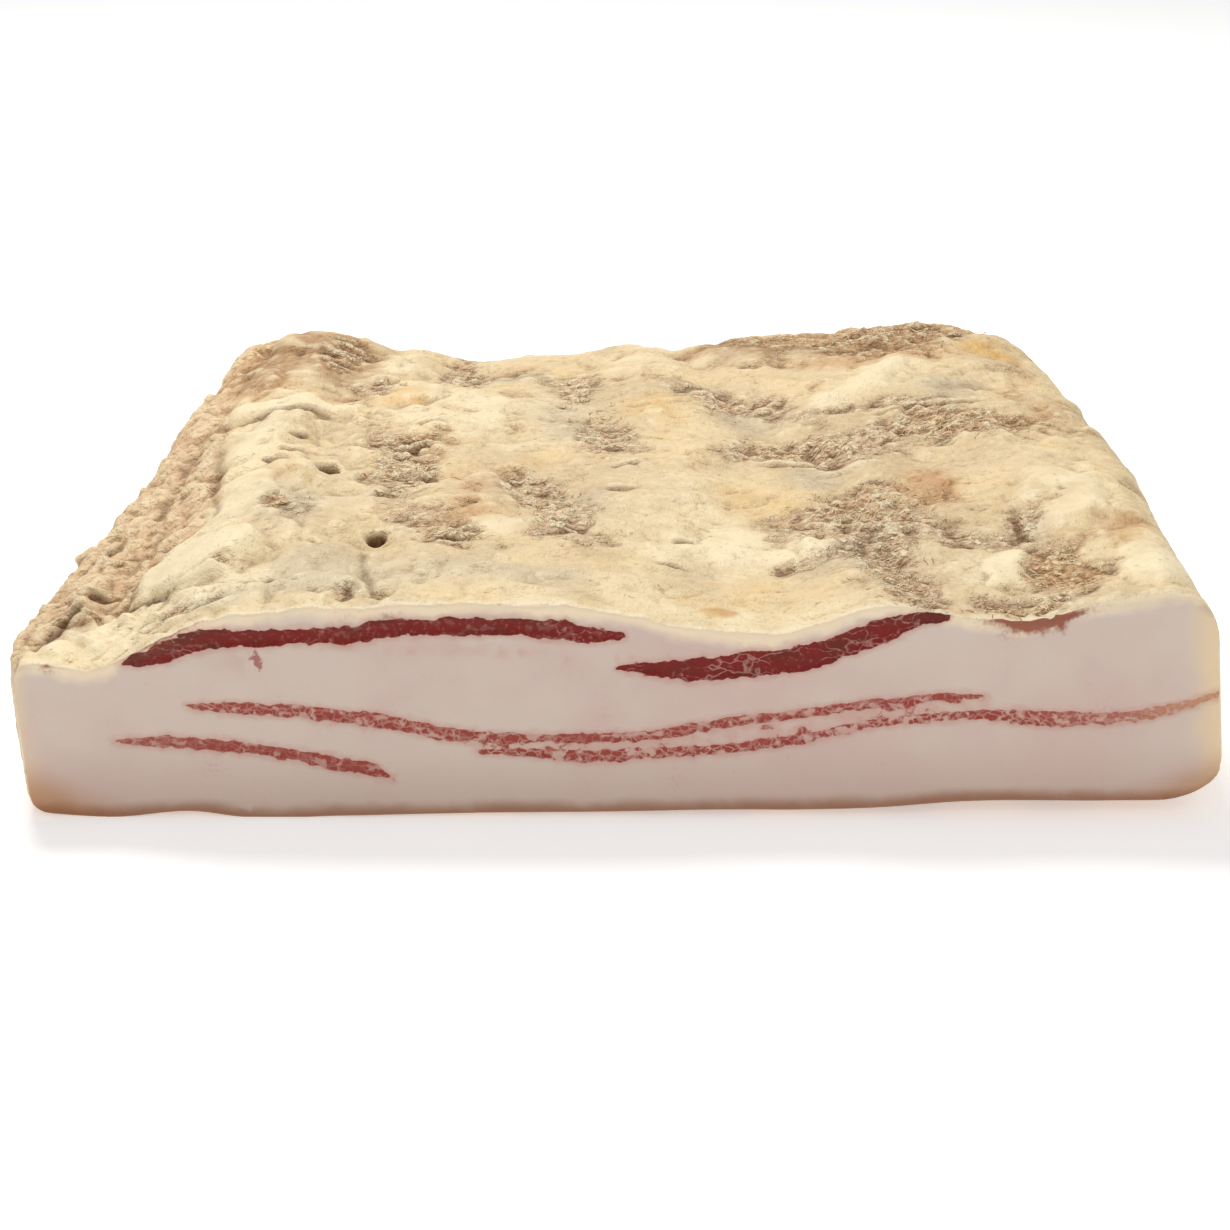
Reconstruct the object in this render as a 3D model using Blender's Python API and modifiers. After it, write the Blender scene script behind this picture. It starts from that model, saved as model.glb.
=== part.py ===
"""A slab of flat-cured pancetta, cut clean across its front.

The slab is one body of fat with a dried, hilly upper side, rounded dried sides and a flat
underside. Five layers of lean meat run through it from the cut face to the far side.

Frame: +Z up, +X to the right of the cut face, +Y into the slab. The origin is the middle of
the slab's box on the surface that it lies on. Sizes below are millimetres.
"""

import bmesh
import bpy
import numpy as np

MM = 0.001

# Middle of the slab in plan, in the coordinates used below, where the origin is put
MIDDLE_X, MIDDLE_Y = -0.3, 1.25

# Plan of the slab, as (position, value) stations along each side
CUT_Y = -110.4
LEFT_SIDE = [(-110, -131), (-95, -134), (-78, -135.5), (-50, -133), (-15, -128), (30, -122.5), (112, -115)]
RIGHT_SIDE = [(-110, 132), (-70, 132), (-20, 133.5), (5, 133.5), (30, 132), (58, 130), (88, 128), (112, 126)]
FAR_SIDE = [(-120, 110), (-95, 112), (-75, 110), (-40, 104), (-10, 105), (35, 107), (80, 112), (120, 105)]

# Height of the upper side along the cut and along the far side, left to right
CUT_CREST = [
    (-131, 36.3), (-122, 36.1), (-113, 35.2), (-106, 37.8), (-100, 41.3), (-89, 46.6), (-78, 48.9),
    (-60, 49.4), (-40, 50.8), (-25, 50.8), (-3, 49.2), (14, 45.9), (27, 44.3), (37, 44.5), (46, 47.1),
    (54, 49.9), (61, 50.1), (72, 48.3), (91, 47.8), (106, 50.8), (120, 53.3), (133, 53.3),
]
FAR_CREST = [
    (-121, 47), (-96, 50.5), (-82, 51), (-73, 49.5), (-55, 47), (-40, 46), (-22, 46), (7, 50),
    (37, 51.5), (61, 52), (79, 54), (97, 54), (112, 52), (125, 49),
]

# Rounding of the edges: how far it reaches in from the side
ROUND_LEFT_TOP, ROUND_LEFT_BOTTOM = 5.0, 6.0
ROUND_RIGHT_TOP, ROUND_RIGHT_BOTTOM = 10.0, 17.0
ROUND_FAR = 8.0
# How far it reaches down from the upper side or up from the underside, as shares of the height
ROUND_DOWN_LEFT, ROUND_DOWN_RIGHT = 0.13, 0.22
ROUND_UP_LEFT, ROUND_UP_RIGHT = 0.14, 0.22
# How much the right side leans out towards the underside, and the left side in
LEAN_RIGHT, LEAN_LEFT = 5.5, 1.5

# Underside: it lies flat, lifts towards the right and is a little wavy behind the cut
LIFT = [(38, 0), (60, 1.0), (85, 2.2), (105, 3.2), (133, 4.2)]
CUT_LIFT = [
    (-131, 1.2), (-112, 0), (-94, 1.4), (-83, 0), (-60, 0.3), (-30, 1.0), (0, 1.3), (23, 1.8),
    (41, 1.8), (58, 2.3), (76, 3.8), (105, 4.0), (133, 4.2),
]
CUT_LIFT_REACH = 22.0

# Hills and hollows of the upper side: middle x, y, half widths along x and y, turn, height
HILLS = {
    "smooth bulge at the front left": (-94, -68, 19, 22, 0, 2.4),
    "far left corner": (-92, 92, 22, 15, 0, 1.6),
    "yellow hill": (-38, 42, 22, 26, 8, 2.4),
    "dip in the far edge": (-42, 88, 13, 17, 0, -3.2),
    "hollow left of the middle": (-52, -14, 13, 20, -10, -1.6),
    "hollow in the middle": (-18, -21, 12, 26, 14, -2.0),
    "hollow behind the middle": (-3, 30, 8, 24, 8, -1.8),
    "plateau": (14, -30, 16, 60, 0, 1.2),
    "hollow at the front right": (98, -92, 12, 13, 0, -2.2),
    "pale bulge on the right": (108, -34, 15, 26, 0, 2.0),
    "ridge on the right": (86, 18, 12, 40, 24, 1.6),
    "far right crest": (84, 92, 24, 14, 0, 1.6),
}

# Troughs that run from the cut to the far side: (y, x) stations, half width, depth
TROUGHS = {
    "trough with the holes": ([(-110, -52), (-57, -57), (-4, -73), (50, -76), (110, -66)], 6, 2.4),
    "diagonal trough": ([(-110, 70), (-70, 60), (-18, 54), (28, 39), (80, 24), (110, 16)], 8, 3.0),
    "crease by the left border": ([(-110, -121), (-60, -116), (0, -112), (60, -106), (110, -100)], 3.5, 2.0),
}
BORDER_WIDTH, BORDER_DROP = 17.0, 5.0

# Grid of the slab before its triangles are thinned out, and the share of them that stays
SLICES_X, SLICES_Y, SLICES_Z = 84, 70, 14
KEPT_TRIANGLES = 0.16

# Lean layers at the cut, as (x, underside, upper side) stations.
# Each one goes on to the far side: its left and right ends move sideways by drift, it follows
# the upper side's hills by the share given, and it sinks a little on the way.
LEAN_LAYERS = {
    "lean_upper_left": {
        "cut": [
            (-106, 36.6, 37.4), (-96, 37.5, 41.6), (-89, 40, 44.2), (-78, 41.2, 44.8), (-66, 41.5, 45),
            (-57, 41.5, 45.4), (-50, 43.2, 47.4), (-34, 43.8, 47.3), (-20, 43.7, 47.6), (-9, 42.4, 46.4),
            (-3, 42.2, 44.9), (2, 43, 44),
        ],
        "drift": (14, -3),
        "sink": 2.5,
        "follow": 1.0,
    },
    "lean_upper_right": {
        "cut": [
            (1, 35.6, 36.4), (9, 34.2, 37.4), (16, 32.6, 37.6), (25, 33.8, 39.2), (35, 34.4, 40.3),
            (44, 36, 42.2), (52, 39.6, 45.2), (58, 42, 47.6), (64, 45, 48.6), (70, 47, 50),
        ],
        "drift": (2, -38),
        "sink": 0.0,
        "follow": 1.0,
    },
    "lean_middle_upper": {
        "cut": [
            (-93, 26.8, 27.4), (-84, 25.2, 28), (-68, 24.4, 27), (-51, 21.9, 25.2), (-40, 19.3, 22.6),
            (-28, 18.2, 20.7), (-10, 18, 20.2), (8, 18.7, 21), (22, 21.6, 23.8), (37, 23.6, 25.8),
            (56, 26.5, 28.5), (72, 28.3, 30.2), (81, 28.8, 29.5),
        ],
        "drift": (-2, -3),
        "sink": 0.0,
        "follow": 0.5,
    },
    "lean_middle_lower": {
        "cut": [
            (-30, 15.6, 16.6), (-18, 15, 17), (-6, 13.4, 16.3), (10, 14.6, 17), (27, 15.9, 18.2),
            (43, 18.5, 20.8), (58, 22.3, 24.5), (78, 24, 26.2), (92, 22.2, 26), (108, 22.6, 25.2),
            (120, 24.8, 27.2), (129, 28.6, 30), (140, 30, 31),
        ],
        "drift": (0, 0),
        "sink": 0.0,
        "follow": 0.5,
    },
    "lean_lower_left": {
        "cut": [
            (-109, 18.4, 19), (-99, 17.2, 20), (-84, 16, 18.6), (-70, 14, 16.6), (-60, 11.2, 14.6),
            (-53, 10, 13.4), (-49, 9.2, 10),
        ],
        "drift": (4, 6),
        "sink": 0.0,
        "follow": 0.3,
    },
}
LAYER_ROWS = 6
LAYER_LENGTH = 222.0
LAYER_OVERRUN = 6.0
SINK_REACH = 35.0
LEAN_GAP = 0.35

FAT_COLOUR, FAT_ROUGHNESS = (0.78, 0.66, 0.46, 1), 0.5
LEAN_COLOUR, LEAN_ROUGHNESS = (0.36, 0.07, 0.06, 1), 0.4


def curve_through(stations, at):
    """Value at each position of a smooth curve through (position, value) stations."""
    place, value = np.array(stations, float).T
    slope = np.gradient(value, place)
    at = np.clip(at, place[0], place[-1])
    i = np.clip(np.searchsorted(place, at) - 1, 0, len(place) - 2)
    step = place[i + 1] - place[i]
    s = (at - place[i]) / step
    near = (1 + 2 * s) * (1 - s) ** 2 * value[i] + s * (1 - s) ** 2 * step * slope[i]
    far = s * s * (3 - 2 * s) * value[i + 1] - s * s * (1 - s) * step * slope[i + 1]
    return near + far


def smooth_step(x):
    x = np.clip(x, 0, 1)
    return x * x * (3 - 2 * x)


def lattice_value(i, j, k):
    """A fixed pseudo-random number from -1 to 1 for each point of a whole-number lattice."""
    mixed = (i * 374761393 + j * 668265263 + k * 1442695041) & 0xFFFFFFFF
    mixed = ((mixed ^ (mixed >> 13)) * 1274126177) & 0xFFFFFFFF
    return ((mixed ^ (mixed >> 16)) & 0xFFFF) / 32767.5 - 1


def lumps(x, y, z, size):
    """Smooth noise from -1 to 1 whose lumps are about the given size."""
    cell = [np.floor(c / size).astype(np.int64) for c in (x, y, z)]
    part = [smooth_step(c / size - n) for c, n in zip((x, y, z), cell)]
    total = 0
    for corner in range(8):
        step = [corner >> axis & 1 for axis in range(3)]
        share = 1
        for s, p in zip(step, part):
            share = share * (p if s else 1 - p)
        total = total + share * lattice_value(*(n + s for n, s in zip(cell, step)))
    return total


def hill(x, y, middle_x, middle_y, half_x, half_y, turn, height):
    """A round-topped hill, or a hollow where the height is negative."""
    angle = np.radians(turn)
    across = (x - middle_x) * np.cos(angle) + (y - middle_y) * np.sin(angle)
    along = (y - middle_y) * np.cos(angle) - (x - middle_x) * np.sin(angle)
    return height * np.exp(-((across / half_x) ** 2) - (along / half_y) ** 2)


def crest(x, y):
    """Height of the upper side above the surface that the slab lies on."""
    back = smooth_step((y - CUT_Y) / (curve_through(FAR_SIDE, x) - CUT_Y))
    height = (1 - back) * curve_through(CUT_CREST, x) + back * curve_through(FAR_CREST, x)
    behind_cut = smooth_step((y - CUT_Y) / 24)
    relief = sum(hill(x, y, *values) for values in HILLS.values())
    for stations, half_width, depth in TROUGHS.values():
        relief = relief - depth * np.exp(-(((x - curve_through(stations, y)) / half_width) ** 2))
    from_left = x - curve_through(LEFT_SIDE, y)
    border = BORDER_DROP * (1 - smooth_step(from_left / BORDER_WIDTH)) * smooth_step((y - CUT_Y) / 60)
    rough = 0.7 * lumps(x, y, 0 * x, 13) + 0.35 * lumps(x, y, 0 * x + 5, 6.5)
    return height + behind_cut * (relief + rough) - border


def underside(x, y):
    """Height of the underside above the surface that the slab lies on."""
    behind_cut = smooth_step((y - CUT_Y) / CUT_LIFT_REACH)
    lift = behind_cut * curve_through(LIFT, x) + (1 - behind_cut) * curve_through(CUT_LIFT, x)
    return np.maximum(lift, 0)


def rounded_box(x, y, z):
    """Points of a plain box, each coordinate from 0 to 1, moved so that its edges are round
    everywhere but along the cut."""
    width = RIGHT_SIDE[0][1] - LEFT_SIDE[0][1]
    left = (ROUND_LEFT_BOTTOM + (ROUND_LEFT_TOP - ROUND_LEFT_BOTTOM) * z) / width
    right = (ROUND_RIGHT_BOTTOM + (ROUND_RIGHT_TOP - ROUND_RIGHT_BOTTOM) * z) / width
    far = ROUND_FAR / (FAR_SIDE[2][1] - CUT_Y)
    to_right = smooth_step((x - 0.6) / 0.3)
    down = ROUND_DOWN_LEFT + (ROUND_DOWN_RIGHT - ROUND_DOWN_LEFT) * to_right
    up = ROUND_UP_LEFT + (ROUND_UP_RIGHT - ROUND_UP_LEFT) * to_right
    reach = [np.where(x < 0.5, left, right), far, np.where(z < 0.5, up, down)]
    inner = [np.clip(x, left, 1 - right), np.minimum(y, 1 - far), np.clip(z, up, 1 - down)]
    out = [(c - i) / r for c, i, r in zip((x, y, z), inner, reach)]
    square = np.max(np.abs(out), axis=0)
    length = np.sqrt(sum(c * c for c in out))
    shrink = np.where(length > 1e-9, square / np.maximum(length, 1e-9), 1)
    return [i + c * shrink * r for i, c, r in zip(inner, out, reach)]


def slab_point(x, y, z):
    """Places points of a unit box, its front face on the cut, on the slab's surface."""
    x, y, z = rounded_box(x, y, z)
    along = CUT_Y + y * (curve_through(FAR_SIDE, 264 * x - 132) - CUT_Y)
    left, right = curve_through(LEFT_SIDE, along), curve_through(RIGHT_SIDE, along)
    across = left + x * (right - left)
    low = underside(across, along)
    up = low + z * (crest(across, along) - low)
    off_floor = smooth_step(z / 0.25)
    behind_cut = smooth_step((along - CUT_Y) / 12)
    knobs = off_floor * (1.5 * lumps(across, along, up, 12) + 0.8 * lumps(across, along, up, 6))
    at_side = smooth_step((np.abs(x - 0.5) - 0.44) / 0.06)
    at_far = smooth_step((y - 0.93) / 0.07)
    across = across + np.sign(x - 0.5) * at_side * behind_cut * knobs
    across = across + LEAN_LEFT * (1 - z) * smooth_step((0.3 - x) / 0.3)
    across = across + LEAN_RIGHT * (0.45 - z) * smooth_step((x - 0.7) / 0.3)
    return across, along + at_far * knobs, up


def sliced_box(name):
    """A unit box cut into a grid by planes."""
    grid = bmesh.new()
    bmesh.ops.create_cube(grid, size=1)
    bmesh.ops.translate(grid, verts=grid.verts, vec=(0.5, 0.5, 0.5))
    for axis, slices in enumerate((SLICES_X, SLICES_Y, SLICES_Z)):
        normal = [0, 0, 0]
        normal[axis] = 1
        for n in range(1, slices):
            plane = [0, 0, 0]
            plane[axis] = n / slices
            everything = grid.verts[:] + grid.edges[:] + grid.faces[:]
            bmesh.ops.bisect_plane(grid, geom=everything, plane_co=plane, plane_no=normal)
    mesh = bpy.data.meshes.new(name)
    grid.to_mesh(mesh)
    grid.free()
    return mesh


def place_points(mesh, where):
    """Moves a mesh's points by a function of their coordinates that gives millimetres."""
    points = np.empty(3 * len(mesh.vertices), np.float32)
    mesh.vertices.foreach_get("co", points)
    x, y, z = where(*points.reshape(-1, 3).astype(float).T)
    placed = np.stack([x - MIDDLE_X, y - MIDDLE_Y, z], axis=1) * MM
    mesh.vertices.foreach_set("co", placed.astype(np.float32).ravel())
    mesh.update()


def new_collection(name):
    collection = bpy.data.collections.new(name)
    bpy.context.scene.collection.children.link(collection)
    return collection


def new_object(name, mesh, collection):
    thing = bpy.data.objects.new(name, mesh)
    collection.objects.link(thing)
    return thing


def as_guide(thing):
    thing.hide_render = True
    thing.display_type = "WIRE"
    return thing


def make_block(guides):
    """The whole slab before the lean layers are taken out of it."""
    mesh = sliced_box("block")
    place_points(mesh, slab_point)
    block = as_guide(new_object("block", mesh, guides))
    add_thin_out(block)
    return block


def add_thin_out(thing):
    thin_out = thing.modifiers.new("thin out", "DECIMATE")
    thin_out.ratio = KEPT_TRIANGLES
    merge_flat = thing.modifiers.new("merge flat", "DECIMATE")
    merge_flat.decimate_type = "DISSOLVE"
    merge_flat.angle_limit = np.radians(0.1)


def layer_sheet(name, layer, extra, collection):
    """A lean layer as a sheet at mid height that Solidify thickens, by extra millimetres more
    than the layer's own thickness."""
    stations = layer["cut"]
    ends = [(stations[0][0] - extra, stations[0][1], stations[0][2])]
    ends += stations[1:-1]
    ends += [(stations[-1][0] + extra, stations[-1][1], stations[-1][2])]
    columns = len(ends)
    grid = bmesh.new()
    bmesh.ops.create_grid(grid, x_segments=columns - 1, y_segments=LAYER_ROWS, size=1)
    bmesh.ops.triangulate(grid, faces=grid.faces[:], quad_method="FIXED")
    mesh = bpy.data.meshes.new(name)
    grid.to_mesh(mesh)
    grid.free()
    thickness = []

    def on_layer(across, along, _):
        """Where the middle of the layer is, for a grid that reaches from -1 to 1."""
        column = np.rint((across + 1) / 2 * (columns - 1)).astype(int)
        x, low, high = np.array(ends)[column].T
        thickness[:] = high - low + 2 * extra
        rows = ((along + 1) / 2) ** 1.6
        y = CUT_Y - LAYER_OVERRUN + rows * (LAYER_LENGTH + 2 * LAYER_OVERRUN)
        back = smooth_step((y - CUT_Y) / LAYER_LENGTH)
        sunk = layer["sink"] * smooth_step((y - CUT_Y) / SINK_REACH)
        shifted = x + back * np.interp(x, (stations[0][0], stations[-1][0]), layer["drift"])
        hills = crest(shifted, np.maximum(y, CUT_Y)) - crest(x, np.full_like(x, CUT_Y))
        return shifted, y, (low + high) / 2 + layer["follow"] * hills - sunk

    place_points(mesh, on_layer)
    sheet = new_object(name, mesh, collection)
    thickest = max(thickness)
    weight = sheet.vertex_groups.new(name="thickness")
    for n, thick in enumerate(thickness):
        weight.add([n], thick / thickest, "REPLACE")
    thicken = sheet.modifiers.new("thicken", "SOLIDIFY")
    thicken.thickness = thickest * MM
    thicken.offset = 0
    thicken.vertex_group = weight.name
    return sheet


def boolean(thing, operation, tool):
    cut = thing.modifiers.new(operation.lower(), "BOOLEAN")
    cut.operation = operation
    cut.solver = "EXACT"
    if isinstance(tool, bpy.types.Collection):
        cut.operand_type = "COLLECTION"
        cut.collection = tool
    else:
        cut.object = tool
    return cut


def make_material(name, colour, roughness):
    material = bpy.data.materials.new(name)
    material.use_nodes = True
    shader = material.node_tree.nodes["Principled BSDF"]
    shader.inputs["Base Color"].default_value = colour
    shader.inputs["Roughness"].default_value = roughness
    material.diffuse_color = colour
    return material


def largest_shell(thing):
    """Makes the modifiers' result the object's own mesh, without the scraps that a layer
    leaves where it thins out at the surface."""
    depsgraph = bpy.context.evaluated_depsgraph_get()
    mesh = bpy.data.meshes.new_from_object(thing.evaluated_get(depsgraph))
    thing.modifiers.clear()
    thing.data = mesh
    shape = bmesh.new()
    shape.from_mesh(mesh)
    bmesh.ops.triangulate(shape, faces=shape.faces[:])
    left = set(shape.verts)
    shells = []
    while left:
        shell, edge = set(), [next(iter(left))]
        while edge:
            point = edge.pop()
            if point not in shell:
                shell.add(point)
                edge += [e.other_vert(point) for e in point.link_edges]
        left -= shell
        shells.append(shell)
    shells.sort(key=len)
    scraps = [point for shell in shells[:-1] for point in shell]
    bmesh.ops.delete(shape, geom=scraps, context="VERTS")
    shape.to_mesh(mesh)
    shape.free()
    mesh.shade_smooth()
    mesh.set_sharp_from_angle(angle=0.6)


def build():
    for thing in list(bpy.data.objects):
        bpy.data.objects.remove(thing)
    parts = new_collection("pancetta")
    guides = new_collection("guides")
    cutters = new_collection("cutters")
    fat_material = make_material("fat", FAT_COLOUR, FAT_ROUGHNESS)
    lean_material = make_material("lean", LEAN_COLOUR, LEAN_ROUGHNESS)

    block = make_block(guides)
    layers = []
    for name, layer in LEAN_LAYERS.items():
        lean = layer_sheet(name, layer, 0, parts)
        lean.data.materials.append(lean_material)
        boolean(lean, "INTERSECT", block)
        layers.append(lean)
        as_guide(layer_sheet("slot for " + name, layer, LEAN_GAP, cutters))

    fat = new_object("fat", block.data, parts)
    fat.data.materials.append(fat_material)
    add_thin_out(fat)
    boolean(fat, "DIFFERENCE", cutters)
    for thing in [fat, *layers]:
        largest_shell(thing)


build()
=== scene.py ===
import math

import bmesh
import bpy
import numpy as np
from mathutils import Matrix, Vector


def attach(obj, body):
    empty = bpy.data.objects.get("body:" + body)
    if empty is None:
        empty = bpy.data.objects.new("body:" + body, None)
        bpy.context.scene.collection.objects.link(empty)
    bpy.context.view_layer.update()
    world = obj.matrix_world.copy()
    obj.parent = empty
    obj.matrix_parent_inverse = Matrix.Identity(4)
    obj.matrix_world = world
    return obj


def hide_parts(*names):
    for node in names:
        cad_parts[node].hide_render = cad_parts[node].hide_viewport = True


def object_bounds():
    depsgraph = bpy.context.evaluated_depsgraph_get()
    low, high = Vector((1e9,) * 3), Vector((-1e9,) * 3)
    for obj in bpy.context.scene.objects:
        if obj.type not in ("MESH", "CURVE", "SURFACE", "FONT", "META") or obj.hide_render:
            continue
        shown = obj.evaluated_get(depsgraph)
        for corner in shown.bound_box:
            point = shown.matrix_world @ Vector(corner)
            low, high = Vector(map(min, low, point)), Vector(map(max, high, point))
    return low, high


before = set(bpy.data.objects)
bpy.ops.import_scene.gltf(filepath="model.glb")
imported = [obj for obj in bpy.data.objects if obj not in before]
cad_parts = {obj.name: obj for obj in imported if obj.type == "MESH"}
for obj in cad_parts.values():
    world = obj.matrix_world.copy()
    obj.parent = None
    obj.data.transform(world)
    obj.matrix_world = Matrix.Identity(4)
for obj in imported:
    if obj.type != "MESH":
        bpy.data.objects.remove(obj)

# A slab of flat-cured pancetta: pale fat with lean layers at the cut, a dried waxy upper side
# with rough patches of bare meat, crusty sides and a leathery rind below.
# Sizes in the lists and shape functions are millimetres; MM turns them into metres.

cad_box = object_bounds()

MM = 0.001
# Middle of the slab in plan, in the coordinates used below, where the frame has its origin
MIDDLE_X, MIDDLE_Y = -0.3, 1.25

# Plan of the slab, as (position, value) stations along each side
CUT_Y = -110.4
LEFT_SIDE = [
    (-110, -131), (-95, -134), (-78, -135.5), (-50, -133), (-15, -128), (30, -122.5), (60, -119.5),
    (82, -114.5), (112, -113),
]
RIGHT_SIDE = [
    (-110, 132), (-70, 132), (-20, 133.5), (5, 133.5), (30, 132), (58, 130), (88, 128), (112, 126),
]
FAR_SIDE = [
    (-120, 110), (-95, 112), (-75, 110), (-40, 104), (-10, 105), (35, 107), (80, 112), (120, 105),
]

# Height of the upper side along the cut and along the far side, left to right
CUT_CREST = [
    (-131, 36.3), (-122, 36.1), (-113, 35.2), (-106, 37.8), (-100, 41.3), (-89, 46.6), (-78, 48.9),
    (-60, 49.4), (-40, 50.8), (-25, 50.8), (-3, 49.2), (14, 45.9), (27, 44.3), (37, 44.5), (46, 47.1),
    (54, 49.9), (61, 50.1), (72, 48.3), (91, 47.8), (106, 50.8), (120, 53.3), (133, 53.3),
]
FAR_CREST = [
    (-121, 47), (-96, 50.5), (-82, 51), (-73, 49.5), (-55, 47), (-40, 46), (-22, 46), (7, 50),
    (37, 51.5), (61, 52), (79, 54), (97, 54), (112, 52), (125, 49),
]

# Rounding of the edges: how far it reaches in from the side
ROUND_LEFT_TOP, ROUND_LEFT_BOTTOM = 5.0, 6.0
ROUND_RIGHT_TOP, ROUND_RIGHT_BOTTOM = 10.0, 17.0
ROUND_FAR = 8.0
# How far it reaches down from the upper side or up from the underside, as shares of the height
ROUND_DOWN_LEFT, ROUND_DOWN_RIGHT = 0.13, 0.22
ROUND_UP_LEFT, ROUND_UP_RIGHT = 0.14, 0.22
LEAN_RIGHT, LEAN_LEFT = 5.5, 1.5

# Underside: it lies flat, lifts towards the right and is a little wavy behind the cut
LIFT = [(38, 0), (60, 1.0), (85, 2.2), (105, 3.2), (133, 4.2)]
CUT_LIFT = [
    (-131, 1.2), (-112, 0), (-94, 1.4), (-83, 0), (-60, 0.3), (-30, 1.0), (0, 1.3), (23, 1.8),
    (41, 1.8), (58, 2.3), (76, 3.8), (105, 4.0), (133, 4.2),
]
CUT_LIFT_REACH = 22.0

# Large hills and hollows of the upper side: middle x, y, half widths along x and y, turn, height
HILLS = [
    (-94, -68, 19, 22, 0, 2.4), (-92, 92, 22, 15, 0, 1.6), (-38, 42, 22, 26, 8, 2.4),
    (-42, 88, 13, 17, 0, -3.2), (-52, -14, 13, 20, -10, -1.6), (-18, -21, 12, 26, 14, -2.0),
    (-3, 30, 8, 24, 8, -1.8), (14, -30, 16, 60, 0, 1.2), (98, -92, 12, 13, 0, -2.2),
    (108, -34, 15, 26, 0, 2.0), (86, 18, 12, 40, 24, 1.6), (84, 92, 24, 14, 0, 1.6),
]
# Troughs that run from the cut to the far side: (y, x) stations, half width, depth
TROUGHS = [
    ([(-110, -52), (-57, -57), (-4, -73), (50, -76), (110, -66)], 6, 2.4),
    ([(-110, 70), (-70, 60), (-18, 54), (28, 39), (80, 24), (110, 16)], 8, 3.0),
    ([(-110, -121), (-60, -116), (0, -112), (60, -106), (110, -100)], 3.5, 2.0),
]
BORDER_WIDTH, BORDER_DROP = 17.0, 5.0
# Rounding of the edges of the cut face
EDGE_ROUND, RIGHT_EDGE_ROUND, SIDE_EDGE_ROUND = 0.6, 2.8, 1.6

# Small hills of smooth fat on the upper side, written as HILLS are
SMOOTH_FAT = [
    (-90, 12, 5, 17, -8, 1.4), (76, 60, 6, 44, -35, 1.6), (96, -8, 6, 30, -35, 1.0),
    (-30, 30, 17, 12, 10, 1.0), (8, 40, 9, 18, 0, 0.8), (113, 89, 6, 8, 0, 1.0),
    (-121, 98, 12, 18, 0, 3.0), (-30, -42, 9, 6, 10, 0.9), (78, -92, 7, 9, 0, 1.0),
    (-52, -92, 10, 8, 0, 0.7), (66, 8, 7, 12, -35, 1.2),
]
# Lobes of smooth fat with a clear edge: middle x, y, half widths, turn, height
FAT_LOBES = [
    (-96, -71, 14, 15, 12, 3.0), (-115, -91, 6, 6, 20, 1.5), (-106, -90, 6, 5, 0, 1.4),
    (-110, -100, 7, 5, 0, 1.3), (-99, -99, 6, 5, -10, 1.2), (-119, -100, 6, 6, 0, 1.2),
    (-111, -82, 5, 4, 0, 1.0), (-98, -91, 6, 4, 0, 1.1), (-125, -106, 6, 5, 0, 1.0),
    (-90, -95, 6, 4, 0, 0.8), (-99, 8, 7, 12, 0, 1.5), (-88, 36, 17, 7, 4, 1.8),
    (-92, -28, 8, 13, -10, 1.2), (47, -66, 5, 7, 0, 1.2), (108, -46, 10, 17, 0, 1.2),
    (91, -81, 6, 10, 0, 1.2), (-58, 52, 9, 10, 0, 1.8), (-103, 62, 9, 12, 0, 1.4),
    (-88, 92, 11, 9, 0, 1.3), (122, -89, 8, 11, 0, 1.0), (-80, -62, 7, 8, 0, 0.9),
    (-66, -38, 8, 9, 0, 0.8), (34, -62, 13, 14, 0, 0.6), (-28, -58, 9, 6, 0, 0.7),
]
# Patches of the upper side: middle x, y, half widths, turn, strength
BARE_MEAT = [
    (-53, -14, 8, 36, 6, 0.8), (-12, 55, 7, 13, 0, 1.0), (-2, 16, 7, 15, 0, 1.2),
    (-21, -26, 7, 12, 0, 1.1), (-12, -49, 8, 17, 10, 1.0), (-38, -64, 8, 7, 0, 0.8),
    (-42, 78, 6, 14, 0, 1.1), (-27, 82, 9, 9, 0, 0.5), (22, 55, 10, 6, 0, 0.8),
    (36, 42, 11, 8, -20, 0.8), (44, 3, 13, 8, 10, 1.2), (60, 0, 8, 8, 30, 1.0),
    (88, 12, 18, 12, 14, 1.1), (70, 30, 16, 4, 14, 0.8), (64, -36, 16, 10, 0, 0.9),
    (57, -51, 14, 9, 0, 1.1), (67, -61, 9, 8, 0, 0.9), (62, -80, 6, 12, 0, 1.1),
    (66, -99, 6, 12, 0, 1.3), (48, -73, 11, 4, 20, 0.9), (76, 82, 20, 10, 10, 0.8),
    (44, 96, 17, 8, 0, 1.0), (82, 98, 22, 14, 0, 1.0), (102, -86, 8, 11, 0, 1.1),
    (97, -58, 4, 9, 0, 0.9), (88, -64, 8, 5, 0, 0.8), (92, -103, 12, 6, 0, 1.2),
    (-76, 90, 7, 13, 0, 1.0), (-68, 58, 8, 18, 0, 0.5), (-88, -98, 13, 4, 0, 0.7),
    (-82, -40, 4, 5, 0, 0.7), (-74, -46, 4, 7, 0, 0.9), (-58, -100, 3, 7, 0, 0.6),
    (-50, -103, 3, 4, 0, 0.8), (110, 62, 8, 8, -40, 0.4),
]
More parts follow.
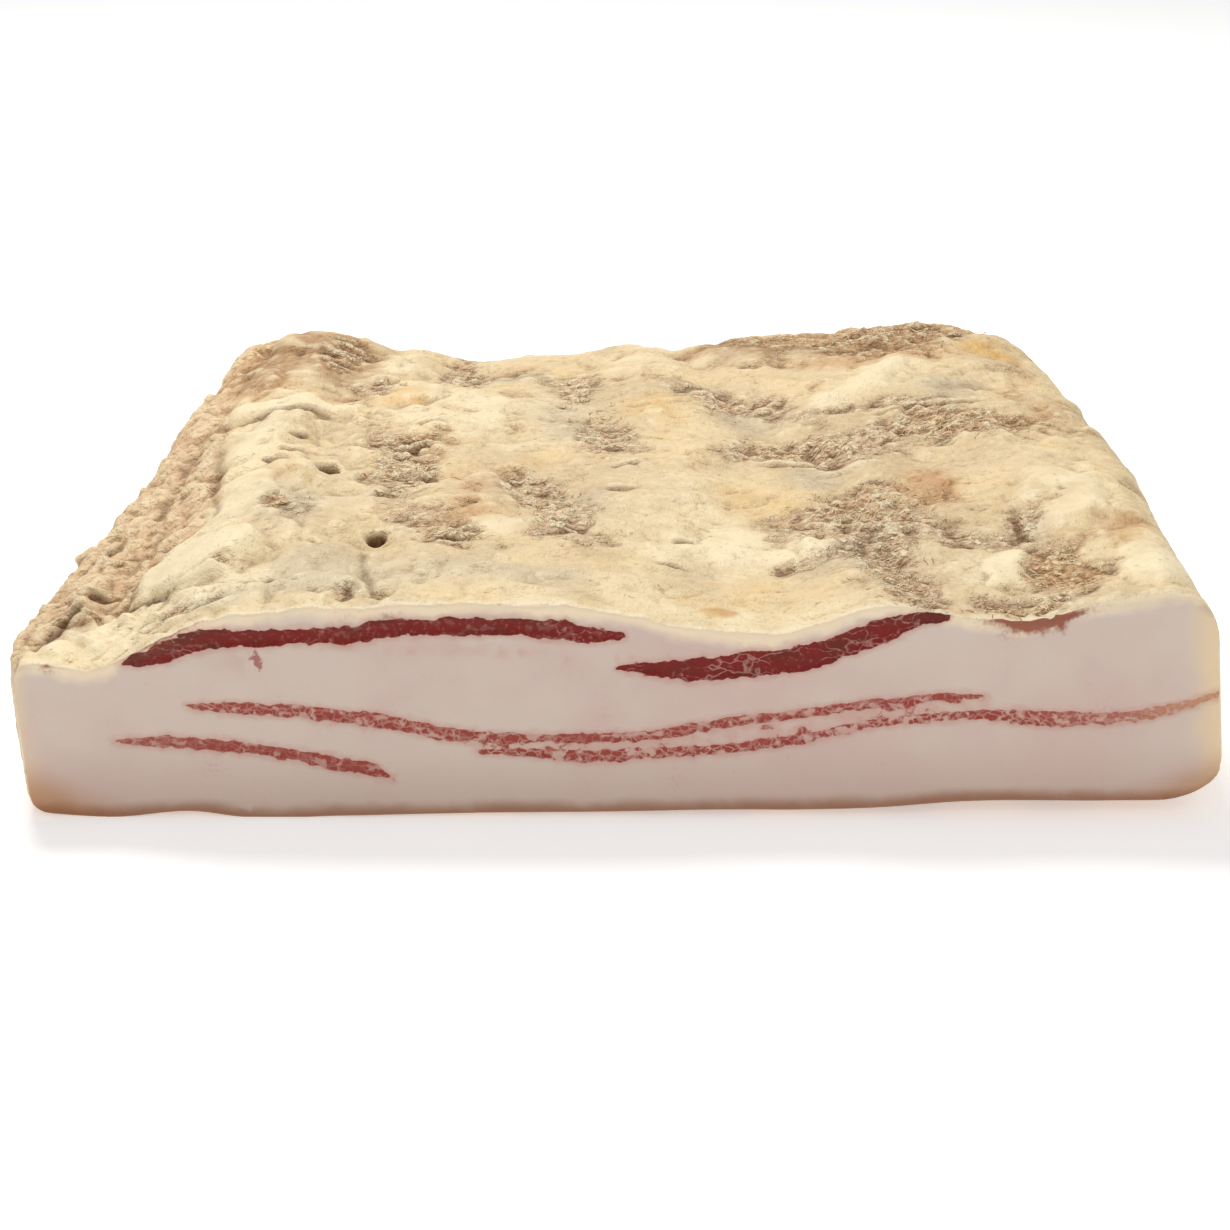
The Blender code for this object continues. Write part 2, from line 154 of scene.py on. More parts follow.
GREY_FAT = [
    (34, 30, 11, 12, 0, 0.8), (94, 46, 13, 8, 10, 1.1), (50, -18, 7, 10, 0, 1.0),
    (-74, -46, 7, 10, 0, 0.7), (-85, -98, 12, 6, 0, 0.8), (-30, 76, 15, 9, 0, 1.3),
    (-12, 30, 10, 18, 0, 0.6), (-10, -44, 9, 18, 0, 0.6), (60, -66, 12, 22, 0, 0.8),
    (-70, -14, 18, 30, 0, 0.5), (-56, -80, 22, 12, 0, 0.6), (86, 108, 14, 8, 0, 0.4),
    (-74, 92, 8, 12, 0, 0.5), (-30, -92, 30, 9, 0, 0.8), (-66, -90, 13, 9, 0, 0.8),
    (24, 56, 14, 14, 0, 0.5), (-82, -30, 8, 16, 0, 0.5), (97, -60, 8, 9, 0, 0.5),
]
AMBER_FAT = [
    (-56, 46, 7, 7, 0, 0.9), (9, 41, 11, 18, 0, 0.6), (-34, 30, 16, 22, 0, 0.35),
    (110, 79, 8, 8, 0, 1.6), (22.5, -101, 3, 2.4, 0, 2.6), (-88, 34, 14, 9, 0, 0.4),
    (-26, -5, 14, 12, 0, 0.3), (30, -30, 14, 18, 0, 0.3), (78, -92, 9, 12, 0, 0.35),
    (30, -90, 20, 12, 0, 0.35),
]
TAN_STAINS = [
    (77, -32, 7, 11, 0, 1.5), (121, -66, 9, 18, 0, 0.5), (-101, 74, 10, 22, 0, 1.6),
    (-10, -80, 7, 6, 0, 0.5), (-82, -40, 4, 5, 0, 0.7), (102, -86, 7, 10, 0, 1.3),
    (88, 12, 18, 14, 14, 0.5), (-30, -48, 12, 9, 0, 0.6), (-36, -24, 12, 18, 0, 0.4),
    (-28, 88, 10, 9, 0, 0.6), (-90, 96, 16, 12, 0, 1.3), (82, 100, 26, 12, 0, 1.6),
    (76, 76, 22, 11, 10, 1.3), (42, 94, 24, 9, 0, 1.0), (114, 40, 10, 40, 0, 0.35),
    (24, -100, 3, 2.0, 0, 2.2), (-50, 8, 9, 16, 0, 0.4), (-76, 84, 12, 18, 0, 0.9),
    (60, -36, 16, 10, 0, 0.4), (-74, 46, 8, 10, 0, 0.6), (66, -100, 7, 8, 0, 0.4),
    (92, -106, 12, 4, 0, 0.7),
]
# Places where the dried surface is dull brown; the entry at (-121, -84) darkens a crevice of the border
# as painted shade
DUSKY_FAT = [
    (84, 91, 17, 12, 0, 1.5), (40, 91, 18, 10, 0, 1.2), (-74, 88, 8, 14, 0, 1.1),
    (-101, 73, 7, 16, 0, 1.2), (-36, 80, 14, 9, 0, 0.9), (-93, 76, 11, 14, 0, 0.8),
    (96, 46, 12, 5, 10, 0.6), (-76, 64, 6, 12, 0, 0.6), (-88, 94, 14, 10, 0, 0.8),
    (62, 80, 14, 8, 10, 0.5), (124, 20, 6, 60, 0, 0.45), (-121, -84, 4, 8, 0, 1.3),
    (-118, -66, 3, 10, 0, 0.5),
]
# Places where the fat stands in crumbly knobs
CRUMBLY_FAT = [
    (-112, -103, 12, 6, 0, 0.4), (-101, 84, 14, 20, 0, 0.5), (-98, 12, 10, 22, 0, 0.4),
    (112, -84, 10, 16, 0, 0.4), (-84, 100, 20, 8, 0, 0.5),
]
# Where the fibres of the bare meat run aslant, and their angle in degrees; elsewhere they run
# along x
SLANTED_FIBRES = [(84, 14, 26, 26, -20, 1.0), (60, -36, 18, 16, 0, 1.0), (96, 96, 20, 14, 0, 0.5)]
FIBRE_SLANT = 38
# Places where the fat is palest; the strong entry at (-109, -94) also paints light over the shade on the
# frill's front-facing slopes
PALE_FAT = [
    (-96, -71, 15, 17, 12, 1.1), (-38, 36, 18, 24, 8, 1.0), (-62, 86, 7, 12, 0, 0.7),
    (-109, -94, 17, 11, 0, 1.6), (-92, 12, 7, 18, -8, 0.8), (-88, 38, 15, 7, 0, 0.9),
    (70, 52, 7, 40, -35, 1.0), (108, -46, 10, 17, 0, 0.6), (112, 0, 14, 50, 0, 0.25),
    (12, -48, 14, 36, 0, 0.6), (34, -62, 13, 15, 0, 0.9), (82, -84, 8, 15, 0, 0.8),
    (-30, -58, 10, 5, 0, 0.6), (20, 92, 16, 10, 0, 0.7), (-92, -28, 10, 18, 0, 0.8),
    (48, -67, 5, 6, 0, 0.9), (4, 78, 12, 12, 0, 0.6), (-48, -44, 6, 10, 0, 0.5),
    (122, -90, 8, 11, 0, 1.3), (91, -81, 5, 9, 0, 1.0), (-30, -96, 40, 8, 0, 0.5),
    (30, -104, 30, 6, 0, 0.5),
]
# Pits, each painted dark inside as painted shade: middle x, y, half widths along x and y, turn, depth
PITS = [
    (-72.3, -11, 2.5, 4.0, 12, 5.4), (-55.9, -58.5, 1.9, 2.9, -15, 4.4),
    (-72.6, 41.6, 1.6, 2.4, 0, 2.6), (-38, 72, 1.8, 2.6, 0, 1.6),
]
# Slits and folds that run across, each with a lip behind it and painted shade along it: middle x,
# y, half length, slope, half width
SLITS = [
    (3, -10, 3.8, 0.05, 0.6), (1.2, -31, 4.4, -0.1, 0.6), (16, -62, 2.8, 0.1, 0.6),
    (13, -77, 3.4, -0.15, 0.6), (-83, 13, 3.2, 0.3, 0.7), (-82, -2, 3.6, 0.2, 0.8),
    (-86, -9, 3.4, -0.1, 0.7), (-52, 6, 5.0, 0.25, 0.8), (-56, -4, 4.2, 0.1, 0.7),
    (-50, -16, 5.5, -0.1, 0.8), (-56, -30, 4.0, 0.2, 0.7), (-49, 22, 4.4, 0.3, 0.7),
    (-51, -23, 4.0, 0.1, 0.7), (-36, -61, 5.5, -0.12, 0.8), (-38, -67, 4.5, 0.1, 0.7),
    (-117, -70, 6.5, 0.15, 1.2), (-92, -100.5, 8, 0.2, 0.7), (-78, -92, 7, 0.15, 0.5),
    (-105, -83, 7, -0.35, 0.5), (85, 26, 17, 0.24, 0.6), (46, -9, 9, -0.1, 0.7),
    (-88, 30, 12, 0.12, 0.7), (-124, -82, 3.0, 0.9, 1.1),
]
SLIT_DEPTH, LIP_HEIGHT = 1.6, 0.8
# Inner edge of the crusty border, as (y, x) stations
BORDER_EDGE = [
    (-112, -131), (-98, -127), (-88, -121), (-80, -112), (-60, -110), (-49, -106), (-42, -102),
    (-9, -101), (25, -104), (50, -106), (112, -99),
]
# Creases: (y, x) stations, half width, depth, how much painted shade darkens them, and how often
# they break off
CREASES = [
    (
        [
            (-88, -116), (-80, -111.5), (-60, -110.5), (-49, -106), (-44, -102), (-9, -101),
            (25, -104), (60, -105),
        ],
        1.4, 1.4, 0.5, 0.7,
    ),
    ([(-106, -50), (-102, -51.5), (-92, -54.5), (-80, -56), (-71, -58)], 1.1, 1.0, 0.45, 0.3),
    ([(-108, -58), (-102, -58.6), (-94, -59)], 1.0, 0.8, 0.4, 0.3),
    ([(-69, 98.5), (-60, 96.5), (-51, 95.5)], 0.9, 1.0, 0.7, 0.2),
    ([(-44, -122), (-20, -116), (8, -113), (30, -112)], 1.6, 1.8, 0.7, 0.8),
    ([(-100, -127), (-90, -125), (-80, -123)], 1.6, 2.4, 1.3, 0.1),
]

# Sizes of the lumps of smooth fat, of the crust's knobs on the upper side and on the sides, and
# of the fibres and crumbs of bare meat
PILLOW, SMALL_PILLOW = 13, 5.5
KNOB, SMALL_KNOB, TINY_KNOB = 10, 5, 2.3
SIDE_KNOB, SMALL_SIDE_KNOB = 10, 4.6
FIBRE, CRUMB = 2.5, 2.3

# Lean layers at the cut, as (x, underside, upper side) stations.
# Each one goes on to the far side: its left and right ends move sideways by drift, it follows
# the upper side's hills by the share given, and it sinks a little on the way. Marbling is how
# much fat runs through it.
LEAN_LAYERS = {
    "upper left": {
        "cut": [
            (-107, 36.2, 37.5), (-101, 36.6, 40.2), (-96, 37.6, 42.6), (-89, 40, 44.9),
            (-78, 41.2, 44.8), (-66, 41.5, 45), (-57, 41.5, 45.4), (-50, 43.2, 47.4),
            (-34, 43.8, 47.3), (-20, 43.7, 47.6), (-9, 42.4, 46.4), (-3, 42.2, 44.9), (2, 43, 44),
        ],
        "drift": (14, -3), "sink": 2.5, "follow": 1.0, "marbling": 0.12,
    },
    "upper right": {
        "cut": [
            (1, 35.6, 36.4), (9, 34.2, 37.4), (16, 32.6, 37.6), (25, 33.8, 39.2), (35, 34.4, 40.3),
            (44, 36, 42.2), (52, 39.6, 45.2), (58, 42, 47.6), (64, 45, 48.6), (70, 47, 50),
        ],
        "drift": (2, -38), "sink": 0.0, "follow": 1.0, "marbling": 0.0,
    },
    "middle upper": {
        "cut": [
            (-93, 26.8, 27.4), (-84, 25.2, 28), (-68, 24.4, 27), (-51, 21.9, 25.2), (-40, 19.3, 22.6),
            (-28, 18.2, 20.7), (-10, 18, 20.2), (8, 18.7, 21), (22, 21.6, 23.8), (37, 23.6, 25.8),
            (56, 26.5, 28.5), (72, 28.3, 30.2), (81, 28.8, 29.5),
        ],
        "drift": (-2, -3), "sink": 0.0, "follow": 0.5, "marbling": 0.8,
    },
    "middle lower": {
        "cut": [
            (-30, 15.6, 16.6), (-18, 15, 17), (-6, 13.4, 16.3), (10, 14.6, 17), (27, 15.9, 18.2),
            (43, 18.5, 20.8), (58, 22.3, 24.5), (78, 24, 26.2), (92, 22.2, 26), (108, 22.6, 25.2),
            (120, 24.8, 27.2), (129, 28.6, 30), (140, 30, 31),
        ],
        "drift": (0, 0), "sink": 0.0, "follow": 0.5, "marbling": 1.0,
    },
    "lower left": {
        "cut": [
            (-109, 18.4, 19), (-99, 17.2, 20), (-84, 16, 18.6), (-70, 14, 16.6), (-60, 11.2, 14.6),
            (-53, 10, 13.4), (-49, 9.2, 10),
        ],
        "drift": (4, 6), "sink": 0.0, "follow": 0.3, "marbling": 0.6,
    },
}
LAYER_LENGTH, SINK_REACH = 222.0, 35.0
# How far the lean is sunk into the cut face, and how wavy the face is
LEAN_SUNK, CUT_WAVE = 0.28, 0.12
# Small marks on the cut face, as x, z, half width, half height, turn, strength: red veins and
# specks, brown stains, and faint lines of skin between layers of fat as (x, z) stations
RED_MARKS = [
    (-77.1, 38.0, 0.8, 2.2, -12, 1.0), (-77.9, 40.2, 1.7, 0.7, 0, 0.9),
    (-53.4, 17.4, 0.9, 0.4, -40, 0.9), (-52.2, 16.6, 0.6, 0.4, 0, 0.7), (10.3, 43.5, 1.0, 0.7, 0, 0.9),
    (-67, 40.6, 1.5, 0.3, 0, 0.4),
]
BROWN_MARKS = [
    (-122.6, 35.8, 1.6, 1.8, 0, 1.2), (-97, 40.6, 6, 1.0, 24, 0.6), (-48, 48.0, 5, 1.2, 0, 0.7),
]
# Brown stains told by x and by how far they lie below the edge of the upper side
EDGE_STAINS = [
    (90, 0.8, 10, 1.4, 0, 1.9), (95, 1.6, 5, 1.5, 0, 0.8), (-58, 1.4, 1.4, 1.6, 0, 0.5),
    (-97, 0.0, 9, 0.9, 0, 0.9),
]
SKIN_LINES = [
    [(-62, 41.0), (-46, 41.4), (-31, 40.2), (-12, 38.6), (-3, 37.6)],
    [(-50, 39.6), (-38, 39.2), (-26, 38.6)], [(-92, 36), (-86, 37.2), (-76, 38)],
]

# Loose fibres: middle x, y, half widths of the patch, how many, direction and spread in degrees,
# length
FIBRE_PATCHES = [
    (101, -84, 6, 10, 200, -75, 60, 4.2), (92, -105, 11, 3, 220, -90, 50, 2.6),
    (63, -80, 8, 26, 260, 30, 90, 2.2), (88, 12, 16, 11, 300, 38, 70, 2.2),
    (48, 2, 14, 8, 160, 10, 70, 2.2), (80, 94, 20, 8, 180, 20, 80, 2.2),
    (-53, -14, 8, 32, 120, 0, 30, 3.0), (-38, -64, 8, 6, 50, 0, 30, 3.0),
    (-16, -40, 8, 18, 90, 20, 90, 2.2), (-4, 28, 7, 22, 80, 20, 90, 2.2),
    (-42, 76, 6, 12, 40, 0, 80, 2.2), (60, -44, 15, 11, 160, 38, 80, 2.4),
]
FIBRE_STEPS = 5

# Grid of the slab's skin: slices of the box, halved again this many times, and the number of
# triangles left when flat places are thinned out
SLICES = (54, 45, 9)
HALVINGS = 3
SKIN_TRIANGLES = 190000

CUT_FACE, OUTER_SKIN, RIND = 0, 1, 2


def curve_through(stations, at):
    """Value at each position of a smooth curve through (position, value) stations."""
    place, value = np.array(stations, float).T
    slope = np.gradient(value, place)
    at = np.clip(at, place[0], place[-1])
    i = np.clip(np.searchsorted(place, at) - 1, 0, len(place) - 2)
    step = place[i + 1] - place[i]
    s = (at - place[i]) / step
    near = (1 + 2 * s) * (1 - s) ** 2 * value[i] + s * (1 - s) ** 2 * step * slope[i]
    far = s * s * (3 - 2 * s) * value[i + 1] - s * s * (1 - s) * step * slope[i + 1]
    return near + far


def smooth_step(x):
    x = np.clip(x, 0, 1)
    return x * x * (3 - 2 * x)


def lattice_value(i, j, k):
    """A fixed pseudo-random number from -1 to 1 for each point of a whole-number lattice."""
    mixed = (i * 374761393 + j * 668265263 + k * 1442695041) & 0xFFFFFFFF
    mixed = ((mixed ^ (mixed >> 13)) * 1274126177) & 0xFFFFFFFF
    return ((mixed ^ (mixed >> 16)) & 0xFFFF) / 32767.5 - 1


def lumps(x, y, z, size):
    """Smooth noise from -1 to 1 whose lumps are about the given size."""
    cell = [np.floor(c / size).astype(np.int64) for c in (x, y, z)]
    part = [smooth_step(c / size - n) for c, n in zip((x, y, z), cell)]
    total = 0
    for corner in range(8):
        step = [corner >> axis & 1 for axis in range(3)]
        share = 1
        for s, p in zip(step, part):
            share = share * (p if s else 1 - p)
        total = total + share * lattice_value(*(n + s for n, s in zip(cell, step)))
    return total


def layered_lumps(x, y, z, size, layers):
    """Lumps with finer ones on them, each layer turned a little so that no grid shows."""
    total, share = 0, 1.0
    for n in range(layers):
        total = total + share * lumps(x, y, z + 31 * n, size)
        x, y = 0.8 * x - 0.6 * y + 7, 0.6 * x + 0.8 * y - 3
        size, share = size * 0.48, share * 0.52
    return total


def pebbles(x, y, size, z=0):
    """0 at the middle of each of many close-set pebbles of about the given size, rising to
    about 1 in the grooves between them."""
    u, v = x / size, y / size
    cell_u, cell_v = np.floor(u).astype(np.int64), np.floor(v).astype(np.int64)
    nearest = np.full(np.shape(x), 9.0)
    for du in (-1, 0, 1):
        for dv in (-1, 0, 1):
            i, j = cell_u + du, cell_v + dv
            middle_u = i + 0.5 + 0.42 * lattice_value(i, j, 3 + z)
            middle_v = j + 0.5 + 0.42 * lattice_value(i, j, 8 + z)
            nearest = np.minimum(nearest, (u - middle_u) ** 2 + (v - middle_v) ** 2)
    return np.sqrt(nearest)


def bell(x, y, middle_x, middle_y, half_x, half_y, turn):
    """1 at the middle of a turned ellipse, falling smoothly to 0 outside it."""
    angle = np.radians(turn)
    across = (x - middle_x) * np.cos(angle) + (y - middle_y) * np.sin(angle)
    along = (y - middle_y) * np.cos(angle) - (x - middle_x) * np.sin(angle)
    return np.exp(-((across / half_x) ** 2) - (along / half_y) ** 2)


def heights(x, y, hills):
    return sum(height * bell(x, y, *where) for *where, height in hills)


def patches(x, y, places, spread=1.0):
    """How strongly the named patches show at each point, with soft edges; spread widens them."""
    total = 0
    for middle_x, middle_y, half_x, half_y, turn, strength in places:
        where = (middle_x, middle_y, half_x * spread, half_y * spread, turn)
        total = total + strength * bell(x, y, *where)
    return total


def crest(x, y):
    """Height of the upper side without its fine relief."""
    back = smooth_step((y - CUT_Y) / (curve_through(FAR_SIDE, x) - CUT_Y))
    height = (1 - back) * curve_through(CUT_CREST, x) + back * curve_through(FAR_CREST, x)
    relief = heights(x, y, HILLS)
    for stations, half_width, depth in TROUGHS:
        relief = relief - depth * np.exp(-(((x - curve_through(stations, y)) / half_width) ** 2))
    from_left = x - curve_through(LEFT_SIDE, y)
    border = BORDER_DROP * (1 - smooth_step(from_left / BORDER_WIDTH)) * smooth_step((y - CUT_Y) / 60)
    rough = 0.7 * lumps(x, y, 0 * x, 13) + 0.35 * lumps(x, y, 0 * x + 5, 6.5)
    return height + smooth_step((y - CUT_Y) / 24) * (relief + rough) - border


def underside(x, y):
    """Height of the underside above the surface that the slab lies on."""
    behind_cut = smooth_step((y - CUT_Y) / CUT_LIFT_REACH)
    lift = behind_cut * curve_through(LIFT, x) + (1 - behind_cut) * curve_through(CUT_LIFT, x)
    return np.maximum(lift, 0)


def ridges(x, y, size, z):
    """Narrow wavy ridges, 1 along each crest and falling to about -1 between them."""
    return 1 - 3 * np.abs(layered_lumps(x, y, 0 * x + z, size, 2))


def upper_finish(x, y):
    """Fine relief of the upper side, and how far each of its finishes shows there, among them the
    painted shade of recesses, pits, slits and creases.
    """
    flat = 0 * x
    wander = layered_lumps(x, y, flat + 11, 9, 4)
    cloud = layered_lumps(x, y, flat + 70, 16, 3)
    bare = smooth_step((patches(x, y, BARE_MEAT, 1.1) + 0.42 * wander - 0.14) / 0.7)
    weathered = np.clip(patches(x, y, BARE_MEAT, 1.9) * 0.75 + 0.55 * cloud, 0, 1)
    grey = smooth_step((patches(x, y, GREY_FAT) + 0.35 * cloud - 0.1) / 0.8)
    amber = smooth_step((patches(x, y, AMBER_FAT) - 0.3 * cloud - 0.1) / 0.8)
    tan = smooth_step((patches(x, y, TAN_STAINS) + 0.35 * wander - 0.1) / 0.8)
    pale = np.clip(patches(x, y, PALE_FAT, 1.15) - 0.3 * wander, 0, 1)
    pale = pale * (1 - 0.85 * np.maximum(amber, tan))
    crumbly = np.clip(patches(x, y, CRUMBLY_FAT) + 0.2 * wander, 0, 1)

    border = 1 - smooth_step((x - curve_through(BORDER_EDGE, y) + 1 - 3.5 * wander) / 4)
    bend_x, bend_y = 1.8 * lumps(x, y, flat + 5, 6), 1.8 * lumps(x, y, flat + 6, 6)
    bent_x, bent_y = x + bend_x, y + bend_y

    lumpy = 0.35 + 0.65 * smooth_step((-15 - x) / 45) + 0.3 * smooth_step((x - 90) / 20)
    pillows = 1 - pebbles(x + 2 * bend_x, (y + 2 * bend_y) * 0.8, PILLOW) ** 2
    small_pillows = 1 - pebbles(x + 1.5 * bend_x, bent_y + 0.5 * bend_y, SMALL_PILLOW, 5) ** 2
    dimples = layered_lumps(bent_x, bent_y, flat + 33, 3.2, 2)
    folds = layered_lumps(0.4 * bent_x, 1.1 * bent_y, flat + 25, 5, 2)
    smooth, calm = 0, 0
    for *where, height in FAT_LOBES:
        lobe = bell(x + bend_x, y + bend_y, *where)
        inside = smooth_step((lobe - 0.25) / 0.3)
        smooth = smooth + height * (inside - 0.45 * np.exp(-(((lobe - 0.2) / 0.08) ** 2)))
        calm = np.maximum(calm, 0.85 * inside)
    lumpy = lumpy * (1 - calm)
    smooth = smooth + heights(x, y, SMOOTH_FAT) + lumpy * (2.6 * pillows + 1.5 * small_pillows - 2.7)
    smooth = smooth + 0.6 * layered_lumps(x, y, flat + 17, 8, 2) + 0.22 * dimples
    smooth = smooth + (1.2 - lumpy - calm) * (0.4 * folds - 0.45 * np.exp(-((folds / 0.1) ** 2)))

    slanted = smooth_step((patches(x, y, SLANTED_FIBRES) - 0.15) / 0.4)
    angle = np.radians(FIBRE_SLANT)
    across_fibres = bent_y * np.cos(angle) - bent_x * np.sin(angle)
    along_fibres = bent_x * np.cos(angle) + bent_y * np.sin(angle)
    level_fibres = (1 + 0.7 * smooth_step((10 - x) / 20)) * ridges(0.4 * bent_x, bent_y, FIBRE, 8)
    slanted_fibres = ridges(0.5 * along_fibres, 1.1 * across_fibres, FIBRE, 8)
    fibres = (1 - slanted) * level_fibres + slanted * slanted_fibres
    crumbs = 1 - 1.6 * pebbles(bent_x, 0.85 * bent_y, CRUMB) ** 1.5
    torn = 0.38 * fibres + 0.32 * crumbs + 0.9 * layered_lumps(x, y, flat + 9, 5, 2) - 0.7

    knobs = 1 - pebbles(x + 2.5 * bend_x, 0.7 * y + 2 * bend_y, KNOB) ** 2
    small_knobs = 1 - pebbles(bent_x + bend_x, 0.8 * bent_y + bend_x, SMALL_KNOB, 5) ** 2
    tiny_knobs = 1 - pebbles(bent_x, bent_y - bend_x, TINY_KNOB, 7) ** 2
    crusty = 1.5 * knobs + 1.1 * small_knobs + 0.7 * tiny_knobs - 2.6 + 0.5 * dimples
    frill = 0.5 * layered_lumps(x, y, flat + 50, 2.6, 2) * (1 - smooth_step((y - CUT_Y) / 7))
    relief = (1 - bare) * smooth + bare * torn + np.maximum(border, 0.8 * crumbly) * crusty + frill

    # Painted shade: the deep places between torn fibres, and the pits, slits and creases below, are
    # painted darker
    dark = bare * smooth_step((-0.6 - torn) / 0.8) * 0.5
    painted_hole_shade = flat
    for *where, depth in PITS:
        pit = bell(x + 0.3 * bend_x, y + 0.3 * bend_y, *where) * (1 + 0.1 * np.clip(wander, -1, 1))
        pit = smooth_step((pit - 0.1) / 0.6)
        relief = relief - depth * pit
        dark = np.maximum(dark, pit)
        painted_hole_shade = np.maximum(painted_hole_shade, pit)
    for middle_x, middle_y, half_length, slope, half_width in SLITS:
        line = middle_y + slope * (x - middle_x) + 0.8 * lumps(x, y, flat + middle_x, 2.8)
        ends = np.exp(-(((x - middle_x) / half_length) ** 4))
        slit = ends * np.exp(-(((y - line) / half_width) ** 2))
        lip = ends * np.exp(-(((y - line - 2.0) / 1.3) ** 2))
        relief = relief + half_width * (LIP_HEIGHT * lip - SLIT_DEPTH * slit)
        dark = np.maximum(dark, 0.9 * slit)
        painted_hole_shade = np.maximum(painted_hole_shade, 0.42 * slit)
    for number, (stations, half_width, depth, painted_shade_strength, gaps) in enumerate(CREASES):
        middle = curve_through(stations, y) + (0.8 + 2.5 * gaps) * lumps(x, y, flat + 3 + number, 9)
        unbroken = smooth_step(1 - gaps * (0.4 - 1.4 * lumps(x, y, flat + 61 + number, 14)))
        ends = smooth_step((y - stations[0][0]) / 4 + 0.3) * smooth_step((stations[-1][0] - y) / 4 + 0.3)
        crease = ends * unbroken * np.exp(-(((x - middle) / half_width) ** 2))
        relief = relief - depth * crease
        dark = np.maximum(dark, painted_shade_strength * crease)
    finishes = {
        "bare": bare, "weathered": weathered, "grey": grey, "amber": amber, "tan": tan,
        "pale": pale, "border": border, "dark": dark, "painted_hole_shade": painted_hole_shade, "waxy": flat + calm,
        "dusky": smooth_step((patches(x, y, DUSKY_FAT) + 0.3 * wander - 0.1) / 0.8),
    }
    return relief, finishes


def rounded_box(x, y, z):
    """Points of a plain box, each coordinate from 0 to 1, moved so that its edges are round
    everywhere but along the cut."""
    width = RIGHT_SIDE[0][1] - LEFT_SIDE[0][1]
    left = (ROUND_LEFT_BOTTOM + (ROUND_LEFT_TOP - ROUND_LEFT_BOTTOM) * z) / width
    right = (ROUND_RIGHT_BOTTOM + (ROUND_RIGHT_TOP - ROUND_RIGHT_BOTTOM) * z) / width
    far = ROUND_FAR / (FAR_SIDE[2][1] - CUT_Y)
    to_right = smooth_step((x - 0.6) / 0.3)
    down = ROUND_DOWN_LEFT + (ROUND_DOWN_RIGHT - ROUND_DOWN_LEFT) * to_right
    up = ROUND_UP_LEFT + (ROUND_UP_RIGHT - ROUND_UP_LEFT) * to_right
    reach = [np.where(x < 0.5, left, right), far, np.where(z < 0.5, up, down)]
    inner = [np.clip(x, left, 1 - right), np.minimum(y, 1 - far), np.clip(z, up, 1 - down)]
    out = [(c - i) / r for c, i, r in zip((x, y, z), inner, reach)]
    square = np.max(np.abs(out), axis=0)
    length = np.sqrt(sum(c * c for c in out))
    shrink = np.where(length > 1e-9, square / np.maximum(length, 1e-9), 1)
    return [i + c * shrink * r for i, c, r in zip(inner, out, reach)]


def round_corner(one, other, radius):
    """How much farther from each of two faces a point must lie, given how far it lies from
    them, for the edge between the faces to be round."""
    u, v = np.clip(1 - one / radius, 0, 1), np.clip(1 - other / radius, 0, 1)
    both = (u > 0) & (v > 0)
    shrink = np.where(both, 1 - np.maximum(u, v) / np.maximum(np.hypot(u, v), 1e-9), 0)
    return radius * u * shrink, radius * v * shrink


def slab_skin(x, y, z):
    """Places points of a unit box, its front face on the cut, on the slab's finished skin.
    Returns their coordinates and the finishes there."""
    x, y, z = rounded_box(x, y * (0.6 + 0.4 * y), z)
    along = CUT_Y + y * (curve_through(FAR_SIDE, 264 * x - 132) - CUT_Y)
    left, right = curve_through(LEFT_SIDE, along), curve_through(RIGHT_SIDE, along)
    across = left + x * (right - left)
    low = underside(across, along)
    relief, finishes = upper_finish(across, along)
    behind = along - CUT_Y
    behind_cut = smooth_step(behind / 12)
    at_edge = 0.5 + 0.5 * smooth_step(behind / 4)
    upper_part = smooth_step((z - 0.5) / 0.5)
    top = crest(across, along) + at_edge * relief
    up = low + z * (crest(across, along) - low) + upper_part * at_edge * relief
    off_floor = smooth_step(z / 0.25)
    knobs = 1.5 * lumps(across, along, up, 12) + 1.0 * lumps(across, along, up, 6)
    crust = 0.5 * layered_lumps(across, along, 1.3 * up, 3.2, 3)
    at_side = smooth_step((np.abs(x - 0.5) - 0.44) / 0.06)
    at_far = smooth_step((y - 0.93) / 0.07)
    around = across + along
    bend = 2.2 * lumps(across, along, up, 7)
    pillows = 1 - pebbles(around + bend, 1.15 * up + bend, SIDE_KNOB, 4) ** 2
    small_pillows = 1 - pebbles(around - bend, 1.1 * up + 0.5 * bend, SMALL_SIDE_KNOB, 9) ** 2
    crust = crust + 1.4 * pillows + 0.6 * small_pillows - 1.45
    out = off_floor * (0.7 * knobs + crust) * (1 - 0.7 * smooth_step((x - 0.5) / 0.3))
    from_side = np.minimum(x, 1 - x) * (right - left)
    edge = EDGE_ROUND + (RIGHT_EDGE_ROUND - EDGE_ROUND) * smooth_step((across - 82) / 22)
    back_top, down = round_corner(behind, np.maximum(top - up, 0), edge)
    back_low, raised = round_corner(behind, np.maximum(up - low, 0), EDGE_ROUND)
    back_side, inwards = round_corner(behind, from_side, SIDE_EDGE_ROUND)
    across = across + np.sign(x - 0.5) * (at_side * behind_cut * out - inwards)
    across = across + LEAN_LEFT * (1 - z) * smooth_step((0.3 - x) / 0.3)
    across = across + LEAN_RIGHT * (0.45 - z) * smooth_step((x - 0.7) / 0.3)
    along = along + at_far * out + np.maximum(np.maximum(back_top, back_low), back_side)
    side = (1 - smooth_step((z - 0.72) / 0.2)) * np.maximum(at_side, at_far)
    finishes = {name: values * (1 - side) for name, values in finishes.items()}
    finishes["side"] = side
    finishes["swell"] = np.maximum(at_side * behind_cut, at_far) * out
    finishes["right"] = smooth_step((x - 0.6) / 0.3)
    finishes["from_top"] = np.maximum(top - up, 0)
    finishes["from_side"] = from_side
    finishes["from_low"] = np.maximum(up - low, 0)
    finishes["behind"] = np.maximum(behind, 0)
    return across, along, up - down + raised, finishes


